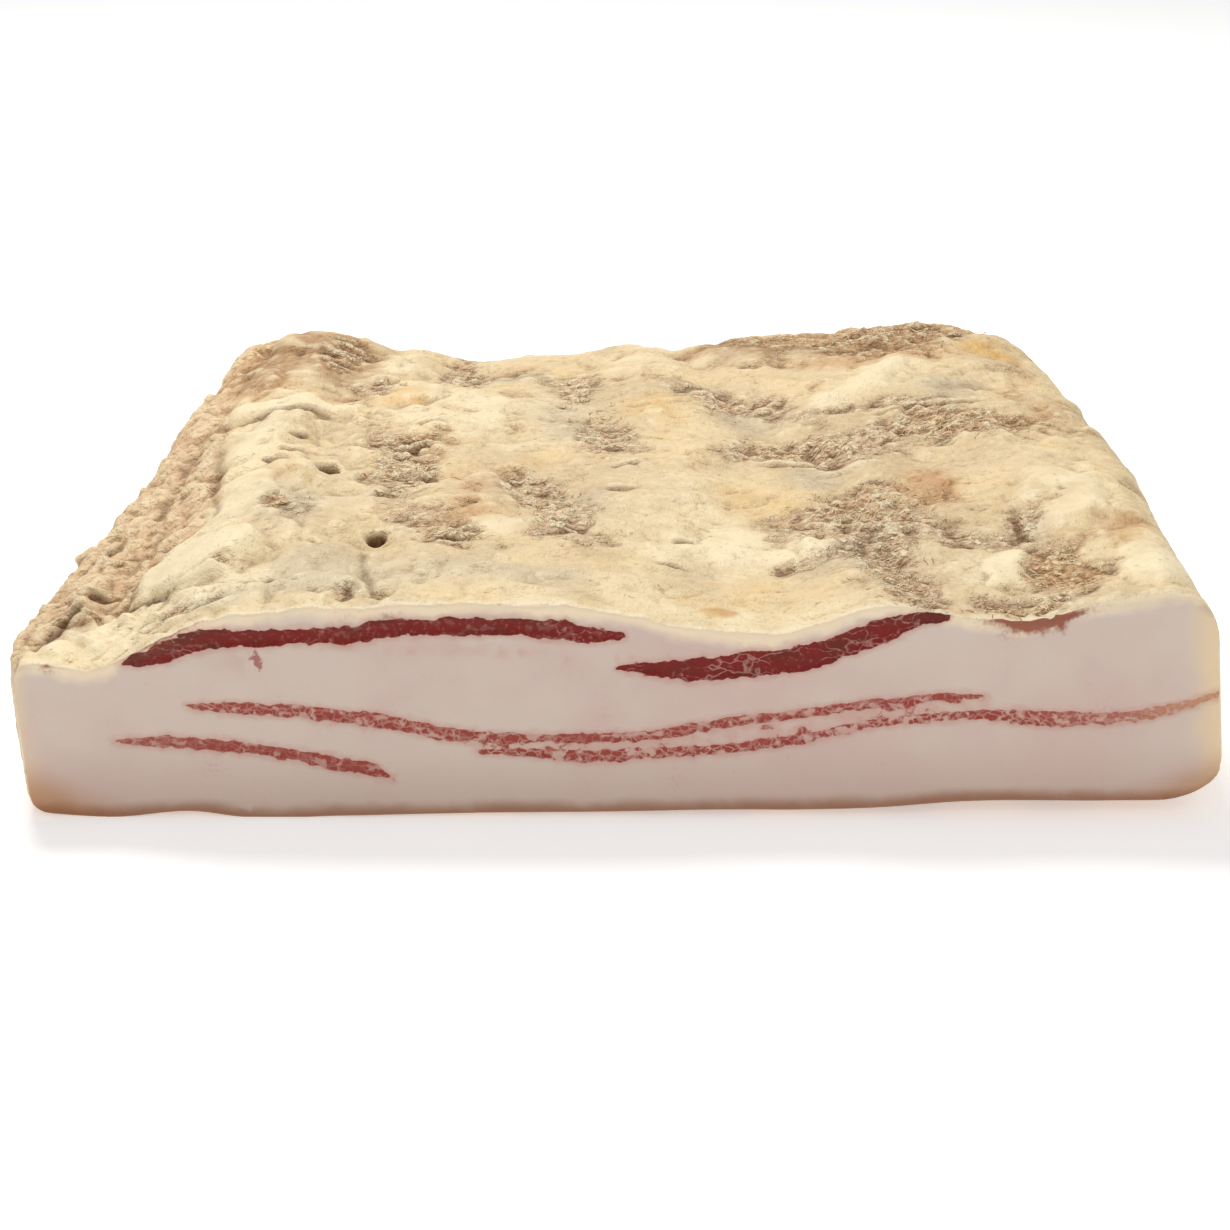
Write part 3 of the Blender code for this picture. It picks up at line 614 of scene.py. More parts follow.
def lean_at(x, y, z):
    """How deep each point lies inside the nearest lean layer, negative outside, and how
    marbled that layer is."""
    depth, marbling = np.full_like(x, -99.0), np.zeros_like(x)
    back = smooth_step((y - CUT_Y) / LAYER_LENGTH)
    above = crest(x, np.maximum(y, CUT_Y))
    for layer in LEAN_LAYERS.values():
        place, low, high = np.array(layer["cut"], float).T
        ends = (place[0], place[-1])
        at_cut = x
        for _ in range(3):
            at_cut = x - back * np.interp(at_cut, ends, layer["drift"])
        hills = above - crest(at_cut, np.full_like(x, CUT_Y))
        middle = np.interp(at_cut, place, (low + high) / 2) + layer["follow"] * hills
        middle = middle - layer["sink"] * smooth_step((y - CUT_Y) / SINK_REACH)
        beyond = np.maximum(np.maximum(ends[0] - at_cut, at_cut - ends[1]), 0)
        inside = np.interp(at_cut, place, (high - low) / 2) - np.hypot(z - middle, beyond)
        marbling = np.where(inside > depth, layer["marbling"], marbling)
        depth = np.maximum(depth, inside)
    return depth, marbling


def sliced_box(name):
    """A unit box cut into a fine grid."""
    grid = bmesh.new()
    bmesh.ops.create_cube(grid, size=1)
    bmesh.ops.translate(grid, verts=grid.verts, vec=(0.5, 0.5, 0.5))
    for axis, slices in enumerate(SLICES):
        normal = [0, 0, 0]
        normal[axis] = 1
        for n in range(1, slices):
            plane = [0, 0, 0]
            plane[axis] = n / slices
            everything = grid.verts[:] + grid.edges[:] + grid.faces[:]
            bmesh.ops.bisect_plane(grid, geom=everything, plane_co=plane, plane_no=normal)
    mesh = bpy.data.meshes.new(name)
    grid.to_mesh(mesh)
    grid.free()
    box = bpy.data.objects.new(name, mesh)
    bpy.context.scene.collection.objects.link(box)
    halve = box.modifiers.new("halve", "SUBSURF")
    halve.subdivision_type = "SIMPLE"
    halve.levels = halve.render_levels = HALVINGS
    apply_modifiers(box)
    return box


def apply_modifiers(thing):
    depsgraph = bpy.context.evaluated_depsgraph_get()
    mesh = bpy.data.meshes.new_from_object(thing.evaluated_get(depsgraph))
    thing.modifiers.clear()
    thing.data = mesh


def mesh_points(mesh):
    points = np.empty(3 * len(mesh.vertices), np.float32)
    mesh.vertices.foreach_get("co", points)
    return points.reshape(-1, 3).astype(float)


def write_mask(mesh, name, values):
    mask = mesh.attributes.new(name, "FLOAT", "POINT")
    mask.data.foreach_set("value", np.asarray(values, np.float32))


def hollows(mesh, height, passes):
    """How far each vertex of the mesh lies below those around it, given all their heights."""
    ends = np.empty(2 * len(mesh.edges), np.int32)
    mesh.edges.foreach_get("vertices", ends)
    one, other = ends.reshape(-1, 2).T
    neighbours = np.bincount(ends, minlength=len(height))
    around = height
    for _ in range(passes):
        total = np.bincount(one, around[other], len(height))
        around = (total + np.bincount(other, around[one], len(height))) / neighbours
    return around - height


def make_slab():
    slab = sliced_box("pancetta_slab")
    mesh = slab.data
    unit = mesh_points(mesh)
    x, y, z, finishes = slab_skin(*unit.T)
    on_cut = unit[:, 1] < 1e-6
    depth, marbling = lean_at(x, y, z)
    sunk = LEAN_SUNK * smooth_step((depth + 0.2 * layered_lumps(x, y + 9, z, 2.0, 2)) / 0.6)
    wave = CUT_WAVE * layered_lumps(x, y, z, 7, 3)
    inner = smooth_step((np.minimum(finishes["from_top"], finishes["from_side"]) - 0.5) / 1.5)
    y = np.where(on_cut, y + inner * np.clip(sunk + wave, -0.1, 0.45), y)
    side, swell = finishes["side"], finishes.pop("swell")
    # How far each point lies below its neighbours; the outer skin paints shade into the hollows and
    # highlights onto the rises from it
    top_hollow = 1.6 * hollows(mesh, z, 4) + 0.6 * hollows(mesh, z, 30)
    side_hollow = 1.6 * hollows(mesh, swell, 4) + 0.6 * hollows(mesh, swell, 30)
    finishes["hollow"] = (1 - side) * top_hollow + side * side_hollow
    finishes["marbling"] = marbling
    finishes["red"] = patches(x, z, RED_MARKS)
    finishes["brown"] = patches(x, z, BROWN_MARKS) + patches(x, finishes["from_top"], EDGE_STAINS)
    skin_lines = 0
    for stations in SKIN_LINES:
        away = (z - curve_through(stations, x)) / 0.35
        ends = smooth_step((x - stations[0][0]) / 5) * smooth_step((stations[-1][0] - x) / 5)
        skin_lines = skin_lines + ends * np.exp(-(away ** 2))
    finishes["skin_line"] = skin_lines
    under_skin = 5 * (1 - side) * smooth_step((y - CUT_Y - 1) / 7)
    finishes["lean"] = depth - np.where(on_cut, 0, under_skin)
    for name, values in finishes.items():
        write_mask(mesh, name, values)
    placed = np.stack([x - MIDDLE_X, y - MIDDLE_Y, z], axis=1) * MM
    mesh.vertices.foreach_set("co", placed.astype(np.float32).ravel())

    corner = np.empty(4 * len(mesh.polygons), np.int32)
    mesh.polygons.foreach_get("vertices", corner)
    middle = unit[corner.reshape(-1, 4)].mean(axis=1)
    kind = np.full(len(middle), OUTER_SKIN, np.int32)
    kind[middle[:, 1] < 1e-6] = CUT_FACE
    kind[middle[:, 2] < 1e-6] = RIND
    for material in (cut_face_material(), outer_skin_material(), rind_material()):
        mesh.materials.append(material)
    mesh.polygons.foreach_set("material_index", kind)
    mesh.update()
    thin_out = slab.modifiers.new("thin out", "DECIMATE")
    thin_out.ratio = SKIN_TRIANGLES / (2 * len(mesh.polygons))
    apply_modifiers(slab)
    slab.data.shade_smooth()
    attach(slab, "root")
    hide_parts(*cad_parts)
    return slab


def make_fibres():
    """Fine dried strands that stand up from the bare meat, all with free curled ends."""
    chance = np.random.default_rng(11)
    rows = []
    for x, y, half_x, half_y, count, direction, spread, length in FIBRE_PATCHES:
        middle = chance.normal(0, 0.5, (count, 2)) * (half_x, half_y) + (x, y)
        heading = np.radians(direction + spread * chance.normal(0, 0.6, count))
        rows.append(np.column_stack([middle, heading, length * chance.uniform(0.5, 1.3, count)]))
    start_x, start_y, heading, length = np.concatenate(rows).T
    start_y = np.clip(start_y, CUT_Y + 1.0, curve_through(FAR_SIDE, start_x) - 10)
    curl = chance.normal(0, 0.5, len(length))
    lift, thick = chance.uniform(0.1, 0.7, len(length)), chance.uniform(0.09, 0.18, len(length))
    steps = np.linspace(0, 1, FIBRE_STEPS)[:, None]
    bearing = heading + curl * steps
    x = start_x + length * (steps - 0.5) * np.cos(bearing)
    y = np.maximum(start_y + length * (steps - 0.5) * np.sin(bearing), CUT_Y - 0.6)
    z = fibre_height(x, np.maximum(y, CUT_Y + 0.5)) + lift * np.sin(2.4 * steps) - 0.1
    z = z - 1.2 * np.clip((CUT_Y + 0.6 - y) / 1.2, 0, 1)
    girth = thick * (1 - 0.75 * (2 * steps - 1) ** 2)
    points = []
    for turn in np.radians([90, 210, 330]):
        sideways = girth * np.cos(turn)
        place = [x - sideways * np.sin(bearing) - MIDDLE_X, y + sideways * np.cos(bearing) - MIDDLE_Y]
        points.append(np.stack([*place, z + girth * np.sin(turn)], axis=-1))
    points = np.stack(points, axis=2).transpose(1, 0, 2, 3).reshape(-1, 3) * MM
    faces = []
    for strand in range(len(length)):
        first = 3 * FIBRE_STEPS * strand
        last = first + 3 * (FIBRE_STEPS - 1)
        faces += [(first + 2, first + 1, first), (last, last + 1, last + 2)]
        for ring in range(first, last, 3):
            for a, b in ((0, 1), (1, 2), (2, 0)):
                faces.append((ring + a, ring + b, ring + 3 + b, ring + 3 + a))
    mesh = bpy.data.meshes.new("meat fibres")
    mesh.from_pydata(points.tolist(), [], faces)
    write_mask(mesh, "tone", np.repeat(chance.uniform(0, 1, len(length)), 3 * FIBRE_STEPS))
    mesh.materials.append(fibre_material())
    mesh.shade_smooth()
    fibres = bpy.data.objects.new("meat_fibres", mesh)
    bpy.context.scene.collection.objects.link(fibres)
    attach(fibres, "root")


def fibre_height(x, y):
    at_edge = 0.5 + 0.5 * smooth_step((y - CUT_Y) / 4)
    return crest(x, y) + at_edge * upper_finish(x, y)[0]


def joined_by(operation, swapped=False):
    """A method that joins a value and another one by a Math node."""
    def method(self, other):
        return self.maths(operation, *((other, self) if swapped else (self, other)))
    return method


class Value:
    """A socket of a material's node tree, on which arithmetic adds Math nodes."""

    __add__, __radd__ = joined_by("ADD"), joined_by("ADD", True)
    __sub__, __rsub__ = joined_by("SUBTRACT"), joined_by("SUBTRACT", True)
    __mul__, __rmul__ = joined_by("MULTIPLY"), joined_by("MULTIPLY", True)
    most = joined_by("MAXIMUM")

    def __init__(self, paint, socket):
        self.paint = paint
        self.socket = socket

    def maths(self, operation, *inputs):
        return self.paint.node("ShaderNodeMath", {"operation": operation}, dict(enumerate(inputs)))

    def step(self, low, high):
        """0 below low, 1 above high and smooth between them; the other way round if low is
        the larger."""
        inputs = {"Value": self, "From Min": low, "From Max": high}
        return self.paint.node("ShaderNodeMapRange", {"interpolation_type": "SMOOTHSTEP"}, inputs)


class Paint:
    """A material with one Principled shader, and the nodes that paint it."""

    def __init__(self, name, **constants):
        self.material = bpy.data.materials.new(name)
        self.material.use_nodes = True
        self.tree = self.material.node_tree
        self.shader = self.tree.nodes["Principled BSDF"]
        for socket, value in constants.items():
            self.shader.inputs[socket.replace("_", " ")].default_value = value
        self.place = self.node("ShaderNodeTexCoord", {}, {}, "Object")

    def node(self, kind, settings, inputs, output=0):
        """Adds a node and returns one of its outputs."""
        node = self.tree.nodes.new(kind)
        for name, value in settings.items():
            setattr(node, name, value)
        for name, value in inputs.items():
            if isinstance(value, Value):
                self.tree.links.new(value.socket, node.inputs[name])
            else:
                node.inputs[name].default_value = value
        return Value(self, node.outputs[output])

    def mask(self, name):
        return self.node("ShaderNodeAttribute", {"attribute_name": name}, {}, "Fac")

    def masks(self, names):
        return [self.mask(name) for name in names.split()]

    def stretched(self, stretch):
        """The object's coordinates, stretched by three factors."""
        return self.node("ShaderNodeVectorMath", {"operation": "MULTIPLY"}, {0: self.place, 1: stretch})

    def noise(self, size_mm, detail=3.0, stretch=(1, 1, 1), distortion=0.0):
        """Noise about 0, from -0.5 to 0.5."""
        inputs = {"Vector": self.stretched(stretch), "Scale": 1000 / size_mm, "Detail": detail}
        inputs["Distortion"] = distortion
        return self.node("ShaderNodeTexNoise", {}, inputs, 0) - 0.5

    def bent(self, size_mm, by_mm, stretch=(1, 1, 1)):
        """The object's coordinates, bent by noise."""
        inputs = {"Vector": self.place, "Scale": 1000 / size_mm, "Detail": 1.0}
        noise = self.node("ShaderNodeTexNoise", {}, inputs, "Color")
        push = self.node(
            "ShaderNodeVectorMath", {"operation": "MULTIPLY_ADD"},
            {0: noise, 1: [by_mm * MM * 2] * 3, 2: self.stretched(stretch)},
        )
        return push

    def cells(self, size_mm, feature, where, randomness=1.0, output="Distance"):
        inputs = {"Vector": where, "Scale": 1000 / size_mm, "Randomness": randomness}
        return self.node("ShaderNodeTexVoronoi", {"feature": feature}, inputs, output)

    def mix(self, factor, below, above):
        """The colour below where the factor is 0 and the one above where it is 1."""
        settings = {"data_type": "RGBA", "clamp_factor": True}
        return self.node("ShaderNodeMix", settings, {0: factor, 6: below, 7: above}, 2)

    def finish(self, colour, roughness, height, depth_mm):
        self.tree.links.new(colour.socket, self.shader.inputs["Base Color"])
        self.tree.links.new(roughness.socket, self.shader.inputs["Roughness"])
        inputs = {"Strength": 1.0, "Distance": depth_mm * MM, "Height": height}
        bump = self.node("ShaderNodeBump", {}, inputs, 0)
        self.tree.links.new(bump.socket, self.shader.inputs["Normal"])
        return self.material


def colour(red, green, blue):
    """A shader colour from the 0 to 255 values that a screen shows."""
    levels = (c / 255 for c in (red, green, blue))
    return [c / 12.92 if c <= 0.04045 else ((c + 0.055) / 1.055) ** 2.4 for c in levels] + [1.0]


CUT_FAT = colour(212, 195, 182)
CUT_FAT_PINK = colour(209, 184, 174)
CUT_FAT_LOW_SHADE = colour(196, 172, 157)
CUT_FAT_DRY = colour(232, 207, 166)
CUT_RIM = colour(246, 229, 196)
CUT_CORNER = colour(184, 134, 94)
EDGE_BROWN_AND_SHADE = colour(148, 98, 66)
HEM_BROWN = colour(146, 66, 42)
LEAN_DARK = colour(122, 18, 10)
LEAN_BROWN = colour(88, 34, 14)
LEAN_ROSE = colour(156, 66, 54)
LEAN_DRY = colour(78, 36, 20)
LEAN_AT_SIDE = colour(126, 58, 36)
LEAN_SEAM = colour(196, 140, 122)
FAT_PALE = colour(237, 212, 166)
CREAM_AND_HIGHLIGHT = colour(249, 232, 194)
FAT_YELLOW = colour(237, 207, 143)
FAT_AMBER = colour(226, 182, 108)
FAT_GREY = colour(207, 190, 158)
MEAT_TAN = colour(221, 194, 155)
MEAT_PINK = colour(219, 183, 147)
MEAT_GREY = colour(197, 179, 149)
WEATHERED = colour(210, 184, 143)
SPECK_AND_SHADE_BROWN = colour(124, 92, 60)
HOLE_SHADE_BROWN = colour(108, 74, 40)
STAIN_TAN = colour(208, 162, 112)
DUSK = colour(150, 116, 80)
BORDER_TAN = colour(232, 202, 159)
BORDER_PINK = colour(216, 176, 137)
RIND_TAN = colour(196, 148, 96)
RIND_BROWN = colour(150, 98, 58)


def cut_face_material():
    """Fresh cut fat, a little see-through, with moist lean layers broken up by fine fat, and painted
    shade towards the underside.
    """
    paint = Paint(
        "cut fat and lean", Subsurface_Weight=0.3, Subsurface_Radius=(1.0, 0.45, 0.3),
        Subsurface_Scale=0.002, Specular_IOR_Level=0.22,
    )
    lean, marbling, from_top, from_side = paint.masks("lean marbling from_top from_side")
    height = paint.node("ShaderNodeSeparateXYZ", {}, {0: paint.place}, 2)
    mottle, haze = paint.noise(16, 2), paint.noise(45, 2)
    strands = paint.noise(5, 2, (0.25, 1, 1.6))
    fat = paint.mix((mottle * 1.6 + haze * 3 + 0.4).step(0.0, 1.0), CUT_FAT, CUT_FAT_PINK)
    # Painted shade: the fat is painted darker over the lowest 20 mm of the cut face, towards the floor
    low = (height * 1000 + mottle * 5).step(20, 1)
    fat = paint.mix(low * 0.7, fat, CUT_FAT_LOW_SHADE)
    dry = (from_side + mottle * 6 - paint.mask("right") * 3).step(5.5, -2.5)
    fat = paint.mix(dry * 0.8, fat, CUT_FAT_DRY)
    from_low = paint.mask("from_low") + mottle * 2.5
    fat = paint.mix((from_low + from_side * 0.45 + mottle * 5).step(15, 4) * 0.85, fat, CUT_CORNER)
    # Brown along the lowest few millimetres of the cut face: the dried edge by the rind, and painted
    # contact shade
    fat = paint.mix(from_low.step(4.2, 0.3) * 0.85, fat, EDGE_BROWN_AND_SHADE)
    speck = paint.cells(7, "F1", paint.bent(6, 2)).step(0.06, 0.02)
    fat = paint.mix(speck * 0.3, fat, LEAN_SEAM)
    thick = 3.0 + mottle * 5 + paint.noise(3, 2) * 1.5
    fat = paint.mix(((thick - from_top) * 0.5).step(-0.6, 1.1) * 0.85, fat, CUT_RIM)
    fat = paint.mix(paint.mask("skin_line") * 0.55, fat, LEAN_SEAM)

    fine = paint.noise(0.9, 3)
    where = paint.bent(2.4, 1.1, (0.75, 1, 1))
    clump = paint.cells(1.5, "SMOOTH_F1", where) + fine * 0.35
    lost = paint.node("ShaderNodeSeparateXYZ", {}, {0: paint.cells(1.5, "F1", where, 1.0, "Color")}, 0)
    seam = paint.cells(3.4, "DISTANCE_TO_EDGE", paint.bent(3.2, 1.7, (0.42, 1, 1.15)))
    net = paint.cells(1.7, "DISTANCE_TO_EDGE", paint.bent(1.6, 0.9, (0.7, 1, 1))).step(0.02, 0.13)
    rough = paint.noise(1.7, 3, (0.7, 1, 1)) * 2.1 + paint.noise(4.5, 2) * (1.9 - marbling * 1.6)
    ragged = lean + rough + 0.12 - marbling * 0.12
    inside = ragged.step(-0.14, 0.16)
    sparse = paint.noise(5, 2, (0.45, 1, 1)) + (lost - 0.5) * 0.35
    clumps = (0.6 - clump - marbling * 0.04 + sparse * 0.4).step(-0.1, 0.1)
    veins = seam.step(0.005, 0.06)
    veined = paint.noise(7, 2, (0.4, 1, 1)) + fine * 0.6 + 0.13 - marbling * 1.6
    fibrous = 1 - (1 - veins) * (veined.step(-0.04, 0.26) * 0.44)
    netted = marbling * marbling * (sparse * -1.2 + 0.55)
    meat = inside * (1 - marbling * (1 - clumps)) * fibrous * (1 - netted * (1 - net))
    fat = paint.mix(ragged.step(-1.7, 0.2) * 0.5, fat, LEAN_SEAM)
    rose = (marbling + fine * 0.3).step(0.1, 0.7)
    brown = (paint.noise(4, 2, (0.4, 1, 1)) * 2 + 0.3).step(0.1, 0.9)
    deep = paint.mix(brown * 0.7, LEAN_DARK, LEAN_BROWN)
    deep = paint.mix(fine.step(0.05, 0.35) * 0.4, deep, LEAN_ROSE)
    red = paint.mix(rose, deep, LEAN_ROSE)
    red = paint.mix((fine + lost * 0.2 - 0.1).step(0.05, 0.4) * 0.35, red, LEAN_SEAM)
    red = paint.mix((from_top + fine * 3).step(5.0, 2.4) * 0.45, red, LEAN_DRY)
    red = paint.mix((from_side + mottle * 4).step(26, 3) * 0.7, red, STAIN_TAN)
    red = paint.mix((from_side.step(50, 20) * marbling) * 0.35, red, LEAN_SEAM)
    shade = paint.mix(meat, fat, red)
    shade = paint.mix((paint.mask("red") + fine * 0.8).step(0.35, 0.6) * 0.75, shade, LEAN_ROSE)
    hem = (paint.mask("brown") + fine * 1.1 + mottle).step(0.15, 1.2)
    shade = paint.mix(hem * 0.9, shade, HEM_BROWN)

    gloss = 0.42 + mottle * 0.12 - meat * 0.08
    relief = strands * 0.25 + fine * 0.18 + inside * 0.35 + paint.noise(0.35, 1) * 0.12
    return paint.finish(shade, gloss, relief, 0.35)


def outer_skin_material():
    """Dried waxy fat with torn patches of bare meat, stains and a crusty border, with painted shade in
    its hollows, pits, slits and creases and painted highlights on its rises.
    """
    paint = Paint("dried outer fat", Specular_IOR_Level=0.35)
    bare, weathered, grey, amber, tan = paint.masks("bare weathered grey amber tan")
    border, side, right, lean, dark, hollow = paint.masks("border side right lean dark hollow")
    cloud = paint.noise(24, 2)
    drift = paint.noise(7, 2)
    fine = paint.noise(1.6, 2)
    grit = paint.noise(0.5, 1)
    streak = paint.noise(3.0, 2, (0.35, 1.3, 1))
    blotch = paint.noise(12, 3, (0.8, 1, 1))
    pale = paint.mask("pale")

    fat = paint.mix((drift * 1.6 + cloud + 0.1).step(0.0, 0.6) * 0.6, FAT_PALE, FAT_YELLOW)
    fat = paint.mix(blotch.step(0.02, 0.2) * 0.55, fat, WEATHERED)
    fat = paint.mix(weathered * (0.8 + drift + fine * 0.6), fat, WEATHERED)
    fat = paint.mix(grey * (0.8 + drift), fat, FAT_GREY)
    level = paint.noise(9, 2, (0.3, 1.1, 1))
    fat = paint.mix(level.step(0.03, 0.2) * 0.35, fat, WEATHERED)
    fat = paint.mix(amber * (0.85 + drift * 0.8), fat, FAT_AMBER)
    fat = paint.mix(streak.step(0.04, 0.26) * 0.3, fat, STAIN_TAN)
    fat = paint.mix((0 - streak - drift).step(0.1, 0.35) * 0.4, fat, FAT_GREY)
    fat = paint.mix((pale + drift * 1.1 - blotch * 0.8).step(0.05, 1.15) * 0.85, fat, CREAM_AND_HIGHLIGHT)
    fat = paint.mix((fine + grit * 0.4).step(0.04, 0.3) * 0.2, fat, MEAT_GREY)
    fat = paint.mix((0 - fine - grit * 0.4).step(0.04, 0.3) * 0.25, fat, CREAM_AND_HIGHLIGHT)
    waxy = paint.mask("waxy")
    fat = paint.mix(waxy * (0.3 + drift), fat, CREAM_AND_HIGHLIGHT)

    crust = paint.mix((drift * 2 + 0.5).step(0.2, 0.9), BORDER_TAN, BORDER_PINK)
    crust = paint.mix(fine.step(0.0, 0.3) * 0.4, crust, FAT_PALE)
    fat = paint.mix(border * 0.9, fat, crust)
    fat = paint.mix(tan * (0.85 + drift * 1.2 + fine * 0.8), fat, STAIN_TAN)
    dusky = paint.mask("dusky") * (0.8 + drift * 1.2 + fine)
    fat = paint.mix(dusky * 0.6, fat, DUSK)
    sides = paint.mix((drift * 2.4 + fine + cloud + 0.4).step(0.2, 1.0), BORDER_TAN, STAIN_TAN)
    sides = paint.mix((blotch + cloud).step(0.0, 0.25) * 0.5, sides, BORDER_PINK)
    sides = paint.mix(right * (0.5 + drift), sides, FAT_PALE)
    sides = paint.mix((cloud + drift).step(0.05, 0.3) * 0.45, sides, FAT_AMBER)
    fat = paint.mix(side * 0.9, fat, sides)

    crumb = paint.cells(1.15, "F1", paint.bent(2.6, 1.2, (0.75, 0.8, 1)))
    raised = (0.45 - crumb) + fine * 1.1 - hollow * 0.6
    meat = paint.mix((drift * 2.5 + 0.5).step(0.2, 0.8), MEAT_TAN, MEAT_PINK)
    meat = paint.mix(grey * 0.55 + cloud * 0.8, meat, MEAT_GREY)
    meat = paint.mix(tan * 0.75, meat, STAIN_TAN)
    # Painted highlight on the tops of the crumbs and painted shade in the gaps between them
    meat = paint.mix(raised.step(0.0, 0.45) * 0.75, meat, CREAM_AND_HIGHLIGHT)
    meat = paint.mix(raised.step(-0.12, -0.5) * 0.6, meat, SPECK_AND_SHADE_BROWN)
    meat = paint.mix(dusky * 0.45, meat, DUSK)
    torn = (bare + fine * 1.1 + drift * 0.6 + grit * 0.4).step(0.1, 0.95)
    shade = paint.mix(torn * 0.95, fat, meat)
    dried_lean = (lean + fine * 2.5 + drift * 5 + cloud * 3).step(-1.2, 1.0)
    shade = paint.mix(dried_lean * 0.55, shade, LEAN_AT_SIDE)
    crusty = border.most(side)
    # Painted shade: hollows of the upper side and of the crusty sides are painted brown, more on the
    # crust
    sunk = (hollow + fine * 0.5 - 0.05 + crusty * 0.1).step(0.0, 0.9)
    shade = paint.mix(sunk * (0.4 + crusty * 0.15 - torn * 0.12 - waxy * 0.2), shade, SPECK_AND_SHADE_BROWN)
    # Painted highlight: rises above the surrounding surface are painted cream
    shade = paint.mix((0 - hollow - fine * 0.3).step(0.1, 0.8) * 0.5, shade, CREAM_AND_HIGHLIGHT)
    speck = paint.cells(3.4, "F1", paint.place).step(0.16, 0.07) * (border + bare + side).step(0.1, 0.8)
    shade = paint.mix(speck * 0.4, shade, SPECK_AND_SHADE_BROWN)
    # Painted shade in the recesses of the torn meat and in pits, slits and creases
    shade = paint.mix((dark + fine * dark) * 0.8, shade, SPECK_AND_SHADE_BROWN)
    # Painted shade: pits and slits are painted dark brown inside
    shade = paint.mix((paint.mask("painted_hole_shade") + fine * 0.2).step(0.15, 0.6) * 0.92, shade, HOLE_SHADE_BROWN)
    shade = paint.mix((paint.mask("behind") + drift * 7).step(3.8, -0.5) * 0.8, shade, CUT_RIM)

    gloss = 0.52 + torn * 0.2 + cloud * 0.15 + border * 0.08
    rough_height = (1 - crumb) * 0.95 + fine * 0.7 + grit * 0.35
    smooth_height = (drift * 0.6 + fine * 0.42 + grit * 0.18) * (1 - waxy * 0.5)
    smooth_height = smooth_height + (border + side) * fine * 0.8
    relief = torn * rough_height + (1 - torn) * smooth_height
    return paint.finish(shade, gloss, relief, 1.1)


def fibre_material():
    """Dried fibres of meat, from cream to pinkish brown."""
    paint = Paint(
        "dried meat fibres", Subsurface_Weight=0.1, Subsurface_Scale=0.001, Specular_IOR_Level=0.35,
    )
    tone, fine = paint.mask("tone"), paint.noise(1.5, 3)
    shade = paint.mix((tone + fine * 0.5).step(0.1, 0.9), MEAT_PINK, CREAM_AND_HIGHLIGHT)
    shade = paint.mix((tone + fine).step(0.5, 0.25) * 0.7, shade, STAIN_TAN)
    shade = paint.mix((tone + fine).step(0.2, 0.0) * 0.5, shade, SPECK_AND_SHADE_BROWN)
    return paint.finish(shade, 0.6 + fine * 0.2, paint.noise(0.4, 2), 0.1)


def rind_material():
    """The tan rind below, with pores and long wrinkles."""
    paint = Paint("rind", Subsurface_Weight=0.08, Subsurface_Scale=0.002, Specular_IOR_Level=0.4)
    cloud, wrinkle = paint.noise(26, 4), paint.noise(6, 4, (0.4, 1.2, 1), 0.8)
    pores = paint.cells(2.6, "F1", paint.bent(6, 1.5)).step(0.22, 0.08)
    skin = paint.mix((cloud * 2 + wrinkle + 0.5).step(0.2, 0.9), RIND_TAN, RIND_BROWN)
    skin = paint.mix(wrinkle.step(0.05, 0.3) * 0.35, skin, FAT_AMBER)
    skin = paint.mix(pores * 0.6, skin, SPECK_AND_SHADE_BROWN)
    relief = wrinkle * 0.6 - pores * 0.5 + paint.noise(0.8, 3) * 0.2
    return paint.finish(skin, 0.45 + wrinkle * 0.2, relief, 0.5)


def add_lamp(name, size, power, place, tint):
    lamp = bpy.data.lights.new(name, "AREA")
    lamp.shape = "DISK"
    lamp.size = size
    lamp.energy = power
    lamp.color = tint
    light = bpy.data.objects.new(name, lamp)
    light.location = place
    aim = Vector(SLAB_MIDDLE) - Vector(place)
    light.rotation_euler = aim.to_track_quat("-Z", "Y").to_euler()
    bpy.context.scene.collection.objects.link(light)


FLOOR_REACH, FLOOR_WHITE, FLOOR_GLOW, SURROUND_STRENGTH = 6, 0.82, 0.4, 0.4
SLAB_MIDDLE = (0, 0, 0.03)
# Name, width, power, place and tint of each lamp
LAMPS = [
    ("key lamp", 0.45, 11.5, (-0.25, 0.5, 1.15), (1.0, 0.985, 0.96)),
    ("fill lamp", 0.8, 3.0, (0.3, -1.0, 0.8), (1, 1, 1)),
]


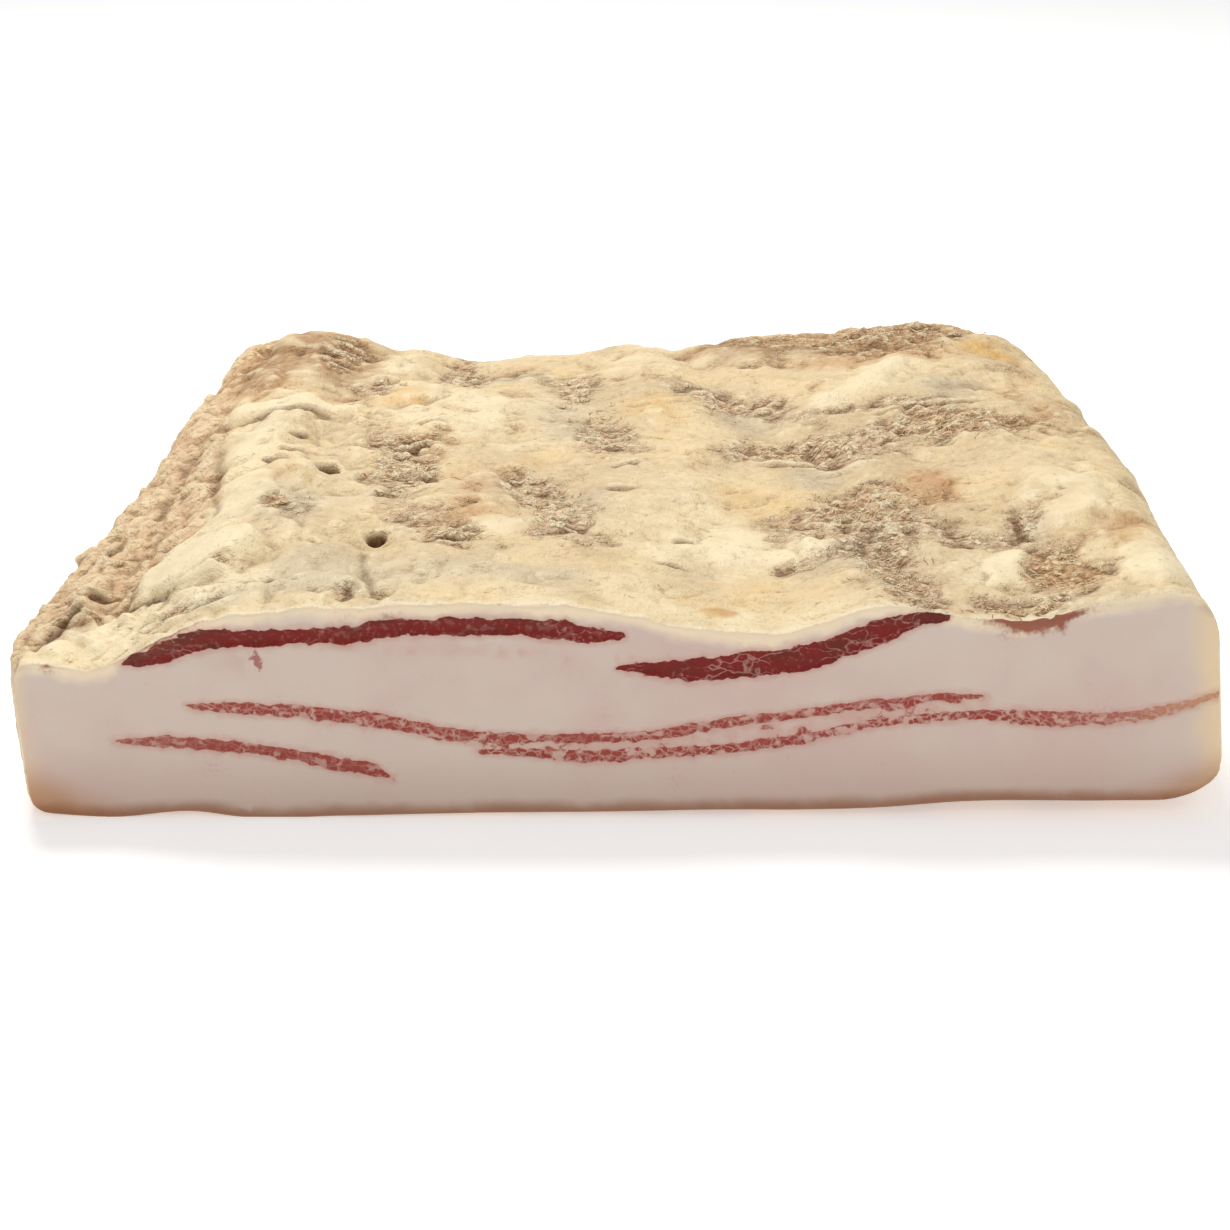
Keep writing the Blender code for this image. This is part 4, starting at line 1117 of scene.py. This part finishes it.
def make_studio():
    """A white floor, a soft white surround and two soft lamps."""
    sheet = bmesh.new()
    bmesh.ops.create_grid(sheet, x_segments=1, y_segments=1, size=FLOOR_REACH)
    mesh = bpy.data.meshes.new("white floor")
    sheet.to_mesh(mesh)
    sheet.free()
    floor = bpy.data.objects.new("white_floor", mesh)
    bpy.context.scene.collection.objects.link(floor)
    white = bpy.data.materials.new("white paper")
    white.use_nodes = True
    shader = white.node_tree.nodes["Principled BSDF"]
    shader.inputs["Base Color"].default_value = [FLOOR_WHITE] * 3 + [1]
    shader.inputs["Emission Color"].default_value = (1, 1, 1, 1)
    shader.inputs["Emission Strength"].default_value = FLOOR_GLOW
    shader.inputs["Roughness"].default_value = 0.9
    shader.inputs["Specular IOR Level"].default_value = 0.0
    mesh.materials.append(white)

    world = bpy.data.worlds.new("white surround")
    bpy.context.scene.world = world
    world.use_nodes = True
    surround = world.node_tree.nodes["Background"]
    surround.inputs["Color"].default_value = (1, 1, 1, 1)
    surround.inputs["Strength"].default_value = SURROUND_STRENGTH
    for lamp in LAMPS:
        add_lamp(*lamp)


# The photograph's camera: how far it looks down, and where its axis meets the cut face
CAMERA_PITCH = 22
CAMERA_FROM_CUT = 0.51358
AXIS_HEIGHT = 0.04824
FOCAL_LENGTH, SENSOR_WIDTH = 70.24, 36


def make_camera():
    lens = bpy.data.cameras.new("camera")
    lens.lens = FOCAL_LENGTH
    lens.sensor_width = SENSOR_WIDTH
    camera = bpy.data.objects.new("camera", lens)
    pitch = math.radians(CAMERA_PITCH)
    cut_y = cad_box[0][1] + 0.0004
    back, rise = CAMERA_FROM_CUT * math.cos(pitch), CAMERA_FROM_CUT * math.sin(pitch)
    camera.location = (-MIDDLE_X * MM, cut_y - back, AXIS_HEIGHT + rise)
    camera.rotation_euler = (math.pi / 2 - pitch, 0, 0)
    bpy.context.scene.collection.objects.link(camera)
    bpy.context.scene.camera = camera


make_slab()
make_fibres()
make_studio()
make_camera()
bpy.context.scene.view_settings.view_transform = "Standard"
